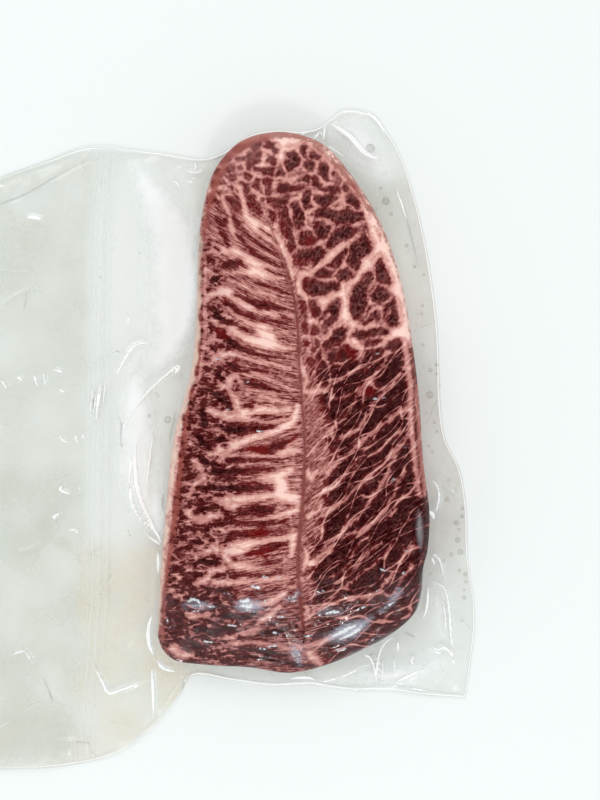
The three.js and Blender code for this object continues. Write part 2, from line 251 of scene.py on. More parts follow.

# %% [markdown]
# ## Where the fat lies
#
# Marbling is fat that grew between bundles of muscle fibre, so it follows the fibres. Three kinds of number
# describe it: listed strokes for the big veins and the dark tongues between them, a pair of fibre
# coordinates for each muscle that streaks can follow, and masks that say where the texture is lacy, streaky
# or netted. The strokes are points with a half width, in millimetres from the steak's middle, read on the
# plane of its top. They go into the mesh as smooth distances, so that the material can cut a sharp, frayed
# edge from them.

# %% Strokes of the left muscle
LEFT_FAT = [
    [(-20, 79, 0.9), (-18, 72, 1), (-17, 68, 1.7), (-14, 65, 2.4), (-10, 62, 2.5), (-6, 59, 2),
     (-3, 54, 1.1), (-1, 48, 0.7), (0, 44, 0.4)],
    [(-26, 75, 0.7), (-24, 70, 0.8), (-22.5, 64, 1.4), (-20, 60, 0.6), (-16, 56, 0.4)],
    [(-18, 65, 0.6), (-14, 61, 0.6), (-8, 56, 0.6), (-4, 52, 0.5)],
    [(-31, 55, 0.8), (-27, 56, 1.3), (-23, 56, 1.9), (-20, 54.5, 1.9), (-17, 52.5, 1.8),
     (-13, 51, 1.7), (-9, 50, 0.9), (-5, 49, 0.4)],
    [(-22, 48, 0.8), (-18, 48, 1.5), (-14, 48, 2.2), (-11, 47, 1.9), (-8, 46, 1.1), (-4, 45.5, 0.4)],
    [(-24, 45.5, 0.6), (-20, 43.5, 0.6), (-15, 41.5, 0.5), (-10, 40, 0.5), (-4, 38, 0.4)],
    [(-30, 39.5, 1.3), (-27, 41, 2), (-24, 40.5, 1.9), (-20, 37.5, 1.4), (-16, 35, 1.2),
     (-12, 33.5, 1.1), (-8, 32.5, 1.2), (-5, 31.5, 0.5)],
    [(-22, 32.5, 0.4), (-18, 30.5, 0.8), (-14, 28.5, 1.1), (-11, 28, 1.6), (-8, 27.5, 1)],
    [(-30, 31, 0.5), (-27, 28.5, 0.6), (-24, 28, 1), (-21, 26.5, 1.3), (-18, 24.5, 1.6),
     (-14, 22.8, 2), (-10, 22.5, 2.6), (-5, 20.6, 1.4), (0, 20, 0.9)],
    [(-13, 26.5, 1.8), (-9, 24.5, 2.4), (-7, 22, 1.6)],
    [(-29, 16.5, 1), (-26, 17.5, 1.2), (-22, 18.2, 1), (-18, 17.2, 1), (-13, 15.8, 1), (-8, 14.6, 0.8),
     (-1, 13, 0.5)],
    [(-27, 7, 0.8), (-24, 6, 1), (-23, 9, 1.1), (-21.5, 10.5, 1), (-19.5, 8.5, 0.5)],
    [(-24, 5, 1), (-21.5, 2, 1.3), (-19, -2, 1.9), (-14, -2.2, 2.2), (-8, -2.2, 1.3), (-2, -2, 1.2)],
    [(-16, 10.8, 0.4), (-10, 9, 0.5), (-5, 7.2, 0.5), (0, 5, 0.6)],
    [(-17, 4.4, 0.4), (-10, 2.6, 0.5), (-3, 0.3, 0.6)],
    [(-31, -2, 0.9), (-27, -3.6, 1.4), (-22, -4.4, 1.7), (-17, -5.2, 1.2), (-12, -6.2, 0.7),
     (-6, -6.6, 0.6), (-1, -5.5, 1.2)],
    [(-28.5, -17.5, 1.3), (-24, -16, 2.2), (-19, -13.6, 1.9), (-14, -12, 1.5), (-9, -10.6, 1.6),
     (-4, -8.6, 1.7), (0, -5.5, 1.8), (1.5, 0, 1)],
    [(-5, -17.8, 1), (-1, -16.6, 1.5), (2, -17, 1)],
    [(-25, -18.3, 0.8), (-15, -18.9, 0.6), (-5, -18.7, 0.6), (0, -17.8, 0.9)],
    [(-13, -27, 0.6), (-9, -26.4, 1.5), (-5, -25.6, 2.2), (-1, -24, 1.4)],
    [(-6, -26.5, 2.2), (-4.5, -30, 3), (-5, -33, 2.4), (-2, -33.5, 2.4)],
    [(-29, -34.5, 0.8), (-24, -34.9, 1.7), (-18, -34.3, 1.6), (-12, -33.7, 1.3), (-6, -33.2, 1.6),
     (0, -34, 2.4), (2, -36, 1)],
    [(-26, -36.5, 1), (-23, -37, 1.7), (-20.5, -36.4, 0.8)],
    [(-39, -39, 1.1), (-36, -41, 1.6), (-33, -42, 1.7), (-29.5, -40.8, 1), (-26, -40.6, 1.1)],
    [(-14, -42.6, 0.5), (-8, -41.2, 0.7), (-3, -39.6, 1.1), (1, -38.5, 1.4)],
    [(-26, -45.6, 0.4), (-19, -45, 0.4), (-12, -44.9, 0.3)],
    [(-23, -51.2, 1.3), (-18, -51, 1.8), (-13, -50, 1.4), (-8, -49, 1), (-3, -48.4, 1.2), (0, -48, 1.8)],
    [(-30, -52, 0.8), (-25, -53, 1.6), (-21, -53.4, 2.2), (-17, -51.8, 1.6)],
    [(-24.5, -55, 1.3), (-23, -58, 1.4), (-18, -58.8, 1.3), (-12, -59.6, 0.6), (-5, -58.8, 0.4)],
    [(-35.5, -64.5, 0.7), (-31.5, -63.2, 1), (-29, -60.4, 1), (-25.5, -59.4, 1.2)],
    [(-29, -65, 0.8), (-22, -64.8, 0.9), (-14, -64.2, 0.9), (-7, -63.6, 0.9), (0, -62.6, 0.6)],
    [(-3, -68.6, 0.8), (-7, -71, 1.5), (-11, -72.6, 1.2), (-14, -72.8, 0.4)],
    [(-5.4, -73.4, 0.7), (-8.6, -76.6, 1.2), (-13, -79.2, 0.7)],
    [(-13, -81.4, 0.5), (-18, -83, 0.8), (-24, -85, 0.7)],
    [(-31, -76.8, 0.6), (-35, -77, 0.7), (-39, -76.4, 0.6)],
    [(-26, -87.4, 0.5), (-16, -86.6, 0.6), (-8, -87.4, 0.5), (-1, -88.8, 0.5), (6, -87.5, 0.6),
     (14, -84.5, 0.6)],
    [(-44, -89, 1.4), (-41, -90.8, 1.2), (-37, -91.4, 0.8)],
    [(-37, -53.8, 0.6), (-34, -54.6, 0.9), (-31, -53.4, 0.6)],
    [(-2, -40, 1), (-1, -45, 0.6), (-0.5, -51, 1.6), (-1, -55, 1)],
    [(-36.5, -20, 0.4), (-34, -23, 0.8), (-33, -27, 0.9), (-36, -29, 0.6), (-38, -33, 0.6)],
]
TIP_LEAN = [
    [(-23.4, 73.6, 2.3), (-21, 71.6, 2.3), (-20, 70, 1)],
    [(-22.5, 82, 1.1), (-19.5, 82, 1.5), (-16, 82.8, 0.7)],
    [(-19.5, 81, 1.4), (-18, 78, 1.3)],
    [(-13.5, 81, 0.9), (-13, 78, 1.1), (-11.8, 77, 0.7)],
    [(-14.3, 76, 0.9), (-15, 73.5, 1.6), (-12.6, 71.5, 2), (-13, 69.2, 1.3)],
    [(-12, 74.6, 0.7), (-10.4, 71, 0.9), (-8, 68, 0.6)],
    [(-9.6, 80, 1.1), (-8, 78.6, 1)],
    [(-9.5, 77, 1), (-5, 78.8, 1.7), (2, 78.6, 1.7)],
    [(-9.4, 74.4, 0.8), (-6.5, 72.8, 1.4), (-3, 73.6, 1.4), (0.5, 75.6, 1.4)],
    [(-3, 71, 1.5), (-1.8, 66, 2.4), (-1, 61, 2), (-1.6, 57, 0.9)],
    [(0, 73, 2), (1, 67, 2.2), (0.6, 62, 1.6)],
    [(-0.6, 91, 1.2), (0.6, 88.6, 1.7), (-1, 86.6, 1.6), (-1.8, 85, 0.9)],
    [(-9.6, 89.3, 1.1), (-8, 88, 0.9)],
    [(-14, 85, 0.5), (-11, 84.8, 0.8), (-8, 85, 0.7)],
    [(-19, 89, 1.2), (-16, 90.2, 0.8)],
    [(-20, 86, 0.8)],
    [(-5.4, 84.6, 0.9), (-4, 83.4, 0.9)],
    [(-1.4, 83.4, 0.8), (2, 83.8, 0.7)],
    [(-10, 94, 0.8), (-8, 93, 0.9)],
    [(-29, 74, 1.2), (-27.4, 72, 1.2)],
]
LEFT_LEAN = [
    [(-9.6, 58.4, 0.3), (-5.4, 53.6, 0.6), (-3, 47.6, 0.4)],
    [(-13, 60.6, 0.3), (-8, 56.8, 0.5), (-4.4, 51.4, 0.5)],
    [(-12, 63.4, 0.3), (-9, 61.4, 0.4), (-6.4, 58.4, 0.3)],
    [(-28.4, 68, 1.2), (-26, 65.6, 1.8), (-24.6, 68, 0.8)],
    [(-22, 68.4, 0.9), (-20.4, 65.6, 1.4)],
    [(-27, 62.6, 0.9), (-25, 60.6, 1.5), (-24, 57.8, 0.9)],
    [(-28.6, 57, 0.9), (-27.2, 56, 0.6)],
    [(-21, 62, 0.8), (-18, 58.2, 1.1), (-15, 55.4, 1.3), (-12, 53.4, 1.3), (-8, 51.4, 1), (-4, 49.6, 0.7)],
    [(-19, 61.8, 0.8), (-15, 60, 0.8), (-12, 57.6, 1), (-8, 55, 0.8), (-5, 52.4, 0.6)],
    [(-25, 50.4, 1.6), (-22, 51, 2.2), (-19.6, 51.4, 1.4), (-18, 49.4, 0.5)],
    [(-29, 45, 1.8), (-27.4, 46.4, 1.4), (-29, 42.6, 0.7)],
    [(-22, 39.8, 0.7), (-17, 38, 1.2), (-12, 36, 1.9), (-7, 35.4, 1.6), (-3, 34.4, 0.8)],
    [(-17, 44.4, 0.5), (-10, 43, 0.9), (-3, 40.6, 0.9)],
    [(-27, 38, 0.9), (-24.6, 36.6, 1.4), (-20, 33.8, 1.3), (-15, 31.6, 1.3), (-9, 30.2, 0.9),
     (-3, 29.2, 0.8)],
    [(-29, 35, 1.2), (-27.4, 32, 1.9), (-24, 30.2, 1.4), (-20.4, 28.6, 0.7)],
    [(-19.4, 27.6, 0.8), (-16, 26.2, 1), (-14.6, 25.6, 0.4)],
    [(-29, 27.8, 0.7), (-26, 24.8, 1.8), (-22.4, 22, 2), (-18, 19.6, 1.7), (-13, 17.8, 1.2),
     (-8, 17.2, 1), (-3, 16.6, 0.6)],
    [(-30.4, 21.6, 1.3), (-28.6, 19, 1)],
    [(-24.6, 15.2, 0.8), (-21.6, 13.6, 1.9), (-18.8, 12, 1.3), (-14, 12.6, 1), (-6, 11, 0.8)],
    [(-28.4, 12, 1.6), (-26, 9.4, 1.8)],
    [(-18, 8, 1.3), (-12, 6.6, 1.6), (-5, 4.4, 0.8)],
    [(-32.4, 5, 1.4), (-28.4, 3.6, 2.1), (-25.4, 1, 2.2), (-23.2, -1.6, 1.6)],
    [(-18, -0.2, 1.1), (-15.4, -0.8, 1)],
    [(-13.6, -4.2, 0.5), (-9, -4.8, 1), (-4, -4.4, 0.4)],
    [(-33.6, -2.4, 1.9), (-32.4, -7, 2.4)],
    [(-29, -6, 1.2), (-25.4, -9, 1.6), (-21, -9.4, 2.6), (-15, -8.8, 2.1), (-10, -8.4, 1.4),
     (-6, -7.8, 0.4)],
    [(-34.6, -11, 1.6), (-32.6, -15, 2.2), (-29.6, -16.8, 0.9)],
    [(-29.4, -12.6, 1.2), (-26, -13.2, 2.1), (-25, -15.4, 0.9)],
    [(-19.6, -16.4, 0.4), (-15, -16.3, 1.6), (-10, -16.5, 2.1), (-5.4, -15.2, 1.7), (-1.6, -13.2, 1.1),
     (1, -11.6, 0.7)],
    [(-23.6, -20.2, 0.8), (-20, -20.4, 1.2), (-12, -20.2, 0.9), (-6, -19.9, 0.7), (0, -19.5, 0.4)],
    [(-34.6, -19, 1.4), (-31, -21.6, 1.8), (-27.4, -22.2, 1.6)],
    [(-29, -24.6, 1.9), (-22, -24.4, 1.8), (-16, -24, 1.6), (-10, -23.5, 1.1), (-3, -23, 0.3)],
    [(-37, -27.4, 1.1), (-35.6, -26, 0.7)],
    [(-33, -30.2, 1.6), (-28, -30.6, 2), (-22, -30.5, 2), (-16, -30.4, 2), (-12, -30, 1.7),
     (-8.6, -30, 0.6)],
    [(-26, -33, 0.7), (-29, -32.6, 0.9)],
    [(-36, -33.6, 1.3), (-33.6, -34.6, 1.2)],
    [(-36, -39, 0.9), (-33.4, -38.6, 1.5), (-30, -37.6, 1.3), (-26.6, -37.6, 0.7)],
    [(-25, -40.4, 0.4), (-19, -39.4, 1.6), (-12.6, -38.6, 2.6), (-7.6, -38.6, 1.2)],
    [(-29, -43, 1.3), (-26.4, -42.4, 0.7)],
    [(-24, -43, 0.8), (-13, -43.4, 1.4), (-5, -42.8, 1.1), (-2, -41.8, 0.5)],
    [(-38.6, -44, 0.9), (-36, -43, 0.9)],
    [(-34.6, -45.4, 0.9), (-31, -45.6, 1.3), (-28, -44.6, 1)],
    [(-27, -47.2, 0.7), (-20, -47.4, 1.4), (-13, -46.9, 2), (-7, -46.4, 0.9), (-1, -45.5, 0.4)],
    [(-38, -49.8, 1), (-34, -50.4, 1.7), (-28, -49.8, 0.8)],
    [(-21.4, -56.6, 0.3), (-16, -54.6, 1.2), (-11, -53.2, 1.9), (-6.4, -51.6, 1.6), (-3, -51, 0.5)],
    [(-15, -58, 0.4), (-9, -57.4, 0.9), (-4, -57, 0.7)],
    [(-40, -57, 1), (-35, -57.2, 1.9), (-30, -57.4, 1.9), (-26.6, -56.8, 0.9)],
    [(-39, -61.6, 1.1), (-34, -61.8, 1.5)],
    [(-30, -63.4, 0.8), (-24, -62.6, 1.2), (-19, -61.8, 1.2), (-12, -62, 0.9), (-5, -60.9, 0.7),
     (-1, -60.4, 0.4)],
    [(-34, -66, 0.9), (-31, -68.4, 1.6), (-37, -68.6, 0.8)],
    [(-28, -67.6, 1.1), (-24.6, -67.2, 1.5), (-21.4, -66.8, 0.7)],
    [(-17.6, -70, 0.6), (-12, -68.6, 1.1), (-6, -67.2, 0.9), (-1, -66.6, 0.4)],
    [(-27, -72, 1.2), (-23.6, -71.8, 0.9), (-21, -71.2, 0.4)],
    [(-42, -70.6, 1.2), (-38.6, -71.4, 1.6), (-34, -73.6, 1.6)],
    [(-26, -77, 1.9), (-20, -77.2, 2.1), (-16, -77.4, 1.5), (-13.8, -74.6, 1.4)],
    [(-37, -81.6, 1.2), (-33.6, -82.2, 2.4), (-28, -82, 2.4), (-21, -80.6, 1.4)],
    [(-14.6, -84, 0.7), (-9, -83.2, 1.9), (-3, -81.6, 1.7), (1, -80.6, 1.3)],
    [(-19.6, -84.6, 0.9), (-18, -85.4, 0.7)],
    [(-42.6, -81, 1.2), (-40.4, -82, 1.2)],
    [(-44, -85, 1)],
    [(-38.4, -87.6, 1), (-34, -88, 1.3), (-28, -86.9, 0.9)],
    [(-25, -89, 0.9), (-18, -88.8, 1.4), (-11, -89.8, 1.8), (-3, -91.4, 1.2)],
    [(-31, -91, 0.7), (-20, -91.8, 1.2), (-10, -92.4, 1.5), (0, -94.4, 1.3), (9, -95, 1)],
]
print(len(LEFT_FAT), "veins and", len(LEFT_LEAN), "dark tongues in the left muscle")

# %% [markdown]
# ## The right muscle's cells
#
# At the narrow end this muscle is cut across its fibres, so the fat shows as a net round dark cells.
# Further down, long thin veins slant up to the right. The cells and the largest veins are strokes, and so
# are the rim of fat and the brown membrane that follow the steak's edge.

# %% Strokes of the right muscle
NET_FAT = [
    [(18, 43, 1.8), (18.5, 38, 1.7), (18.5, 33, 1.7), (19, 29.5, 1.4)],
    [(19, 29.6, 1.2), (22, 28.4, 1.3), (26, 27.8, 0.9), (30, 28.9, 0.9), (34, 28.2, 0.5)],
    [(18.5, 40.5, 1.5), (21, 44, 1.4), (24.5, 47.6, 1.4), (28, 51, 1.3), (31, 54, 1)],
    [(18, 40.4, 1.2), (12.6, 39.2, 0.8), (6, 38.4, 0.7), (3, 39.6, 1), (1.6, 43, 1.2), (3, 47.2, 1.4),
     (6.4, 48, 0.9), (10, 50.6, 1.1), (14, 54.8, 1.5), (19, 58.4, 0.9), (24, 61.2, 0.6)],
    [(24.6, 20, 1), (23, 21.6, 1.4), (21.4, 24, 0.7)],
    [(24.4, 19, 1.1), (23.6, 16.6, 0.7)],
    [(7.6, 24.4, 0.8), (11.4, 24, 0.8), (13.6, 26.6, 0.8), (17, 29.4, 0.8)],
    [(4, 39, 0.9), (5.4, 35, 0.5), (6.6, 30, 0.7), (9, 29, 0.5), (13, 32.6, 0.3)],
    [(3.6, 24.6, 0.5), (7, 24.4, 0.6), (6.6, 21.6, 0.4)],
    [(2.4, 17, 0.7), (3, 13, 1), (4.6, 9, 0.9), (3.6, 4.6, 0.9), (7, 4.6, 1.3), (11, 5, 0.9), (13, 7, 0.7)],
    [(10.4, 20.6, 0.4), (11.4, 16.6, 0.5), (13.4, 12, 0.4), (13, 7, 0.5)],
    [(13.4, 7, 0.6), (16, 8.6, 0.5), (19.6, 10.6, 0.5), (23.6, 13.8, 0.4), (25.6, 18.4, 0.5)],
    [(13, 7, 0.6), (13.6, 3.4, 0.7), (15.6, 1.8, 0.5), (20, 3.4, 0.5), (24.4, 6, 0.7), (27, 8.6, 0.9),
     (30, 11.4, 0.4), (34.4, 17.4, 0.6)],
    [(26, 19.6, 0.5), (30.6, 21.4, 0.7), (32.4, 21.6, 1), (35, 24.6, 0.5)],
    [(25.4, 12, 0.4), (28.6, 14.4, 0.4), (33, 18, 0.5), (37.6, 19.6, 0.5)],
    [(28, 7.6, 0.9), (31, 5.4, 0.6), (34.6, 6.6, 0.7), (38.6, 10.4, 0.5), (41, 11.6, 0.4)],
    [(21.4, -0.6, 0.4), (23.4, 3.4, 0.4), (26, 7.4, 0.6)],
    [(28.6, 0, 0.4), (32, 3.6, 0.7), (34, 5.6, 0.5)],
    [(6.6, 2, 0.3), (9, 6, 0.3)],
    [(24.4, 29.6, 0.2), (29, 34.4, 0.4), (33, 36.6, 0.4), (35.4, 38.6, 0.3)],
    [(26.4, 38, 0.2), (29.4, 42.4, 0.3)],
    [(31, 29.4, 0.2), (35, 33.6, 0.3)],
    [(29, 49.4, 0.5), (30, 44, 0.5), (34.6, 43, 0.5)],
    [(22, 0.4, 0.5), (18, -5, 0.5), (15, -7.6, 0.6), (13.6, -9, 1.2), (11, -12, 0.7), (8, -15, 0.6),
     (5, -19, 0.4)],
    [(13.6, -9, 1), (14.4, -13, 0.5)],
    [(29, 0, 0.5), (26, -5, 0.6), (23.8, -8.6, 1), (20, -11, 0.9), (17, -12, 0.7), (14.6, -13.4, 0.5)],
    [(41, -1, 1.4), (37, -4, 1), (32, -7.8, 0.9), (27, -12, 0.9), (24, -14, 1), (20, -18, 0.7),
     (16.4, -20.6, 1), (14, -23, 1), (12, -26, 0.6), (9, -28, 0.5)],
    [(41, -9.4, 0.5), (35, -12.4, 0.5), (31.4, -16.6, 0.5), (28, -18.6, 0.3)],
    [(42, -11.6, 0.6), (38.4, -15.4, 0.9), (35, -19, 0.9), (31, -23, 0.8), (27.2, -26.6, 1.2),
     (24, -29.6, 0.7), (20, -33, 0.7), (17.6, -35.6, 0.8), (13, -38.4, 1.1), (9, -41.6, 0.5)],
    [(36.4, -19, 0.7), (34.6, -23.8, 0.8), (32, -28.8, 1), (30, -32, 0.8), (28, -34.4, 0.9),
     (25, -38.8, 0.6), (22, -42, 0.6), (18, -46, 0.7), (13, -50.4, 0.9), (9, -53.4, 0.6)],
    [(40.6, -24, 0.7), (38, -28, 0.6), (36, -33, 0.6), (33, -38.4, 0.8), (30, -42, 0.9),
     (26, -45, 0.7), (22, -47, 0.7), (17, -48.4, 0.5)],
    [(42, -32.4, 0.5), (38, -35, 0.5), (36, -39.4, 0.5), (33, -41.4, 0.4)],
    [(24, -19, 0.4), (21, -22.4, 0.5), (18, -26.4, 0.8), (15, -29.4, 0.8), (12, -31, 0.9), (9, -33, 0.5)],
    [(30, -10, 0.2), (25.4, -18, 0.3), (20.6, -26, 0.3)],
    [(34, -24, 0.3), (31, -29, 0.4), (30.6, -31, 0.6)],
    [(35.6, -29, 0.4), (32, -30, 0.6)],
    [(40, -52.4, 0.6), (39.4, -56, 0.6), (37, -60, 0.6), (34, -64, 0.7), (32, -66.6, 0.8),
     (30, -68.6, 0.9), (24, -70.2, 0.8), (18, -71.2, 0.8), (12, -72.6, 1), (7, -75.4, 0.8),
     (4, -78, 0.5)],
    [(43, -58, 0.6), (41, -61, 0.5), (38.4, -65.4, 0.5), (35.6, -68.8, 0.6), (31, -69, 0.5)],
    [(43.4, -52, 0.9), (40, -54.6, 0.7)],
    [(36, -50, 0.3), (33, -54.6, 0.5), (29, -58, 0.5), (24, -62, 0.5), (19, -66, 0.6), (15, -69, 0.6),
     (12, -72, 0.6)],
    [(31, -50.6, 0.3), (26, -54.4, 0.5), (22, -60, 0.4), (17, -64, 0.4), (13, -67.6, 0.3)],
    [(27, -47.6, 0.3), (22, -53, 0.4), (19, -59.4, 0.4), (13, -63, 0.4)],
    [(14.6, -51, 0.5), (12, -53.4, 1.1), (8, -56, 0.9), (5, -59, 0.8)],
    [(28, -70, 0.5), (26.6, -73, 0.4)],
    [(16, -77.4, 0.5), (20, -77.6, 0.5), (24, -76.8, 0.4)],
    [(5, -90, 0.9), (7, -92, 1.8), (10, -94.2, 1.3)],
    [(20, -88, 0.4), (25, -86, 0.6), (31, -82.4, 0.5)],
    [(5, -24, 1.2), (6, -27, 1.6), (8, -24, 1)],
    [(5, -41, 1.2), (7, -40, 1), (10, -37, 0.7)],
    [(4, -53, 1), (4.4, -57, 1.4), (3.6, -60, 1)],
    [(4.6, -74, 1), (5.4, -77, 1.2), (8, -75, 0.7)],
]
CELL_LEAN = [
    [(3.2, 92.4, 0.8), (4, 91.2, 1.2)],
    [(6.3, 91, 0.7), (7.6, 89.8, 0.8)],
    [(4.4, 87.2, 1.1), (6.2, 86.8, 1.2)],
    [(10.6, 86, 0.9), (11, 84, 1.2), (12.4, 81.6, 1.2), (15, 80.8, 0.8)],
    [(13.8, 83.6, 0.5), (14.6, 82, 0.9)],
    [(7.6, 81, 0.8), (9.6, 78.8, 1.3), (13, 78, 1.3), (16.2, 76.6, 0.9)],
    [(8.4, 74.6, 1.2), (12, 74.2, 1.8), (15.6, 75.4, 1)],
    [(4.4, 76.4, 1.1), (4, 73, 1.2), (6, 71.4, 1)],
    [(19.4, 78.4, 0.8)],
    [(20.4, 74.8, 1.1), (23, 71.4, 1)],
    [(-0.4, 80, 1.1), (4.2, 81.4, 1.2)],
    [(7, 68.4, 1.4), (12, 68.9, 2.3), (18, 68.4, 2.7), (23.4, 67.8, 2.1)],
    [(16, 71.6, 1.2), (14.6, 72, 0.7)],
    [(7, 67, 1.4), (10.4, 65, 2.2), (11, 62.4, 1.4)],
    [(13.6, 58.6, 1.5), (16.4, 60.4, 2.5), (22, 63.6, 1.4), (24.6, 65, 0.8)],
    [(0, 63.4, 1.4), (3, 60.6, 2.3), (6, 58.8, 1.8)],
    [(3, 54, 2), (7.6, 55.4, 2), (9.6, 52.6, 1.6), (6.4, 50, 1.4), (2.4, 51, 1.4)],
    [(25, 60.6, 0.9), (24.8, 57.4, 2.4), (21.8, 54, 1.5), (22, 50, 1)],
    [(30.8, 51.6, 0.9), (31.4, 47.6, 1.4), (33.2, 44.8, 1.1)],
    [(18.4, 55.4, 0.5), (15.6, 52.6, 1.1), (12.6, 50.4, 1.4)],
    [(29, 61, 0.4), (28, 62.4, 0.3)],
    [(0.6, 43.6, 0.8), (0.6, 41, 0.7)],
    [(5.4, 43, 1.4), (9, 42.6, 2.4), (13, 42.6, 1.3), (15, 43.2, 0.7)],
    [(9.6, 47.6, 1.6), (13.2, 47.6, 1.4)],
    [(3, 49.4, 0.9), (6, 49.6, 1)],
    [(16.6, 46.6, 1.2), (20, 47, 1.2), (18.6, 44.4, 0.7)],
    [(27, 46.4, 0.7), (24.6, 42.4, 2.2), (23.4, 38, 2.2), (23, 33.6, 1.7)],
    [(29, 41.4, 1.4), (32, 38.4, 2.4), (34.6, 34, 2.4), (35.8, 30.4, 1.3)],
    [(29.4, 33.4, 1.8), (26, 30.4, 0.9)],
    [(6.2, 36.4, 0.9), (7.2, 33.6, 1)],
    [(15.6, 36, 0.9), (14, 33, 1.6), (12, 30, 1.5), (10, 27.6, 1)],
    [(6.8, 26.6, 0.9), (9, 27.2, 1)],
    [(16.6, 27, 1.6), (14.8, 24.2, 1.9), (12.4, 21.2, 1.1)],
    [(23.4, 24.6, 1.3), (28, 25.4, 1.8), (32, 27, 1.2)],
    [(27, 22.6, 1.5), (30, 23.6, 0.8)],
    [(18.6, 18.6, 1.9), (21, 17.6, 1.4)],
    [(12.6, 17, 0.9), (15, 19.4, 0.9)],
    [(16.6, 4, 1.3), (19, 7, 1.9), (22.6, 9.6, 2.3), (25.4, 12.2, 1.3), (29.4, 15.6, 1)],
    [(31.4, 8.2, 1.1), (33.4, 8.8, 1.4), (36, 11.2, 0.8)],
    [(37, 15, 1.3), (38.4, 17.6, 0.9)],
    [(24.6, 3, 1.7), (27, 4.8, 1.1)],
    [(34, 2, 1), (37.4, 6, 1.4), (40, 9, 0.8)],
    [(26.6, 17.4, 1), (30.6, 19.4, 0.7)],
    [(35.4, 21, 0.9), (37.4, 21.4, 0.9)],
    [(1.6, 37, 0.9), (3, 35, 1.1), (4, 32.6, 0.8)],
    [(3.4, 21.6, 0.9), (4, 18.6, 0.9)],
    [(6.6, 19.4, 0.8), (8.4, 22, 0.9)],
    [(5.6, 15.6, 0.9), (7.4, 13.4, 0.8)],
    [(9.4, 18.4, 1), (11, 14.6, 0.8)],
    [(3.8, 11.6, 0.7), (5.4, 8.4, 0.8)],
    [(8, 10.2, 1), (10.6, 8.6, 0.9)],
    [(3, 28.8, 0.8), (4.4, 26.6, 0.7)],
    [(-28, 80.6, 1), (-25, 80, 1.1)],
    [(-27, 77, 0.8), (-24.6, 77.4, 0.9)],
    [(-24.4, 85, 0.8), (-22.6, 85.6, 0.9)],
    [(-30.6, 70.6, 1), (-30.4, 66, 0.9)],
    [(-5.4, 54.6, 0.7), (-3.4, 58.4, 1.1)],
    [(-26, 88, 0.8), (-24, 89.4, 0.7)],
    [(-23, 80, 0.8), (-24.6, 77.6, 0.6)],
    [(-13.6, 88.6, 0.9), (-12, 90.4, 0.7)],
    [(-16, 86.8, 0.7)],
    [(-28, 84.4, 0.6), (-27.4, 82.6, 0.7)],
    [(-15, 93.4, 0.7), (-12.6, 94.4, 0.6)],
    [(-20.6, 92.2, 0.7), (-18.6, 92.8, 0.6)],
]
EDGE_FAT = [
    [(20, 79.5, 0.8), (24, 75, 0.8), (27, 68.6, 1.6), (29, 63, 1.9), (31, 58, 1.9), (33.4, 53, 1.5),
     (35.4, 48, 1.2), (37, 42, 1.2), (38.4, 35, 1.1), (39.6, 28, 1.1), (40.6, 20, 1), (41.6, 12, 1),
     (42.4, 5, 0.9), (42.4, -2, 0.9), (42.6, -9, 0.9), (43.6, -17, 0.8), (44.4, -25, 0.7),
     (45.6, -33, 0.6)],
    [(44.6, 6, 0.5), (45.2, -4, 0.6), (46, -16, 0.6), (47.2, -27, 0.6), (47.6, -33, 0.4)],
    [(-26, 90, 0.7), (-30, 85, 0.9), (-32.8, 78, 0.9), (-34.4, 68, 0.9), (-35, 55, 0.9),
     (-35.2, 40, 0.9), (-35.6, 26, 0.9), (-37, 13, 1.1), (-39.4, 3, 1.3), (-42, -6, 1.7),
     (-43.2, -15, 1.9), (-44.2, -26, 1.9), (-45.6, -38, 1.6), (-46.8, -52, 1.6), (-48.2, -66, 1.4),
     (-49.6, -78, 1.1), (-49.6, -87, 1), (-46, -93, 0.8)],
    [(-32, 52, 0.6), (-32.4, 40, 0.8), (-32.2, 30, 0.7), (-33, 18, 0.7), (-34.4, 9, 0.5)],
    [(1, 96.4, 0.4), (-6, 94.4, 1), (-2, 92.6, 1.2), (4, 95.2, 0.8), (10, 91, 0.8)],
]
MEMBRANE = [
    [(-1, 97.4, 0.8), (-8, 97, 1), (-17, 94.4, 1.4), (-23, 90.2, 1.6), (-26.6, 84, 1.6),
     (-29.4, 77, 1.5), (-31.6, 69, 1.1), (-33, 60, 0.9), (-33.8, 50, 0.8), (-34, 36, 0.8),
     (-34.4, 22, 0.8), (-35.6, 12, 0.9), (-38, 2, 1), (-39.4, -8, 1.1), (-40.4, -18, 1.1),
     (-41.8, -28, 1.2), (-43, -40, 1.2), (-44.6, -52, 1), (-46.2, -62, 1), (-47.4, -72, 1),
     (-48, -82, 1), (-46.6, -89.4, 0.9)],
    [(4, 96.4, 0.8), (9, 92.8, 0.9), (13, 89.4, 1.2), (17, 85.4, 1.5), (21, 80.4, 1.3),
     (25, 74.6, 1.1), (28.6, 69.4, 1), (32, 63.4, 0.8), (35.2, 56, 0.7), (37.6, 48, 0.5),
     (39.6, 40, 0.4), (41.2, 32, 0.4), (42.4, 24, 0.5), (43.4, 14, 0.6), (44.4, 5, 0.7),
     (44.8, -3, 0.8), (45.4, -13, 1), (46.2, -22, 1.1), (47, -31, 1.1)],
]
RED_PATCHES = [
    [(-16, -16.6, 1.4), (-11, -16.2, 1.6)],
    [(-15, -54.6, 1.2), (-10, -53.4, 1.5)],
    [(24.6, 5, 1.6), (28, 4.6, 1.4)],
    [(19, 21, 1.2), (21.4, 17.6, 1.6)],
    [(-15, -46.8, 1.4), (-10, -47, 1.4)],
    [(-2, -11, 1.2), (0, -13, 1)],
    [(-27.6, 26.6, 1.1), (-25, 24.6, 1)],
    [(-26, 38, 1.3)],
    [(5.6, 59.4, 1.6)],
    [(9, -92.8, 0.9), (12, -93.4, 1)],
]
print(len(NET_FAT), "veins and", len(CELL_LEAN), "dark cells in the right muscle")

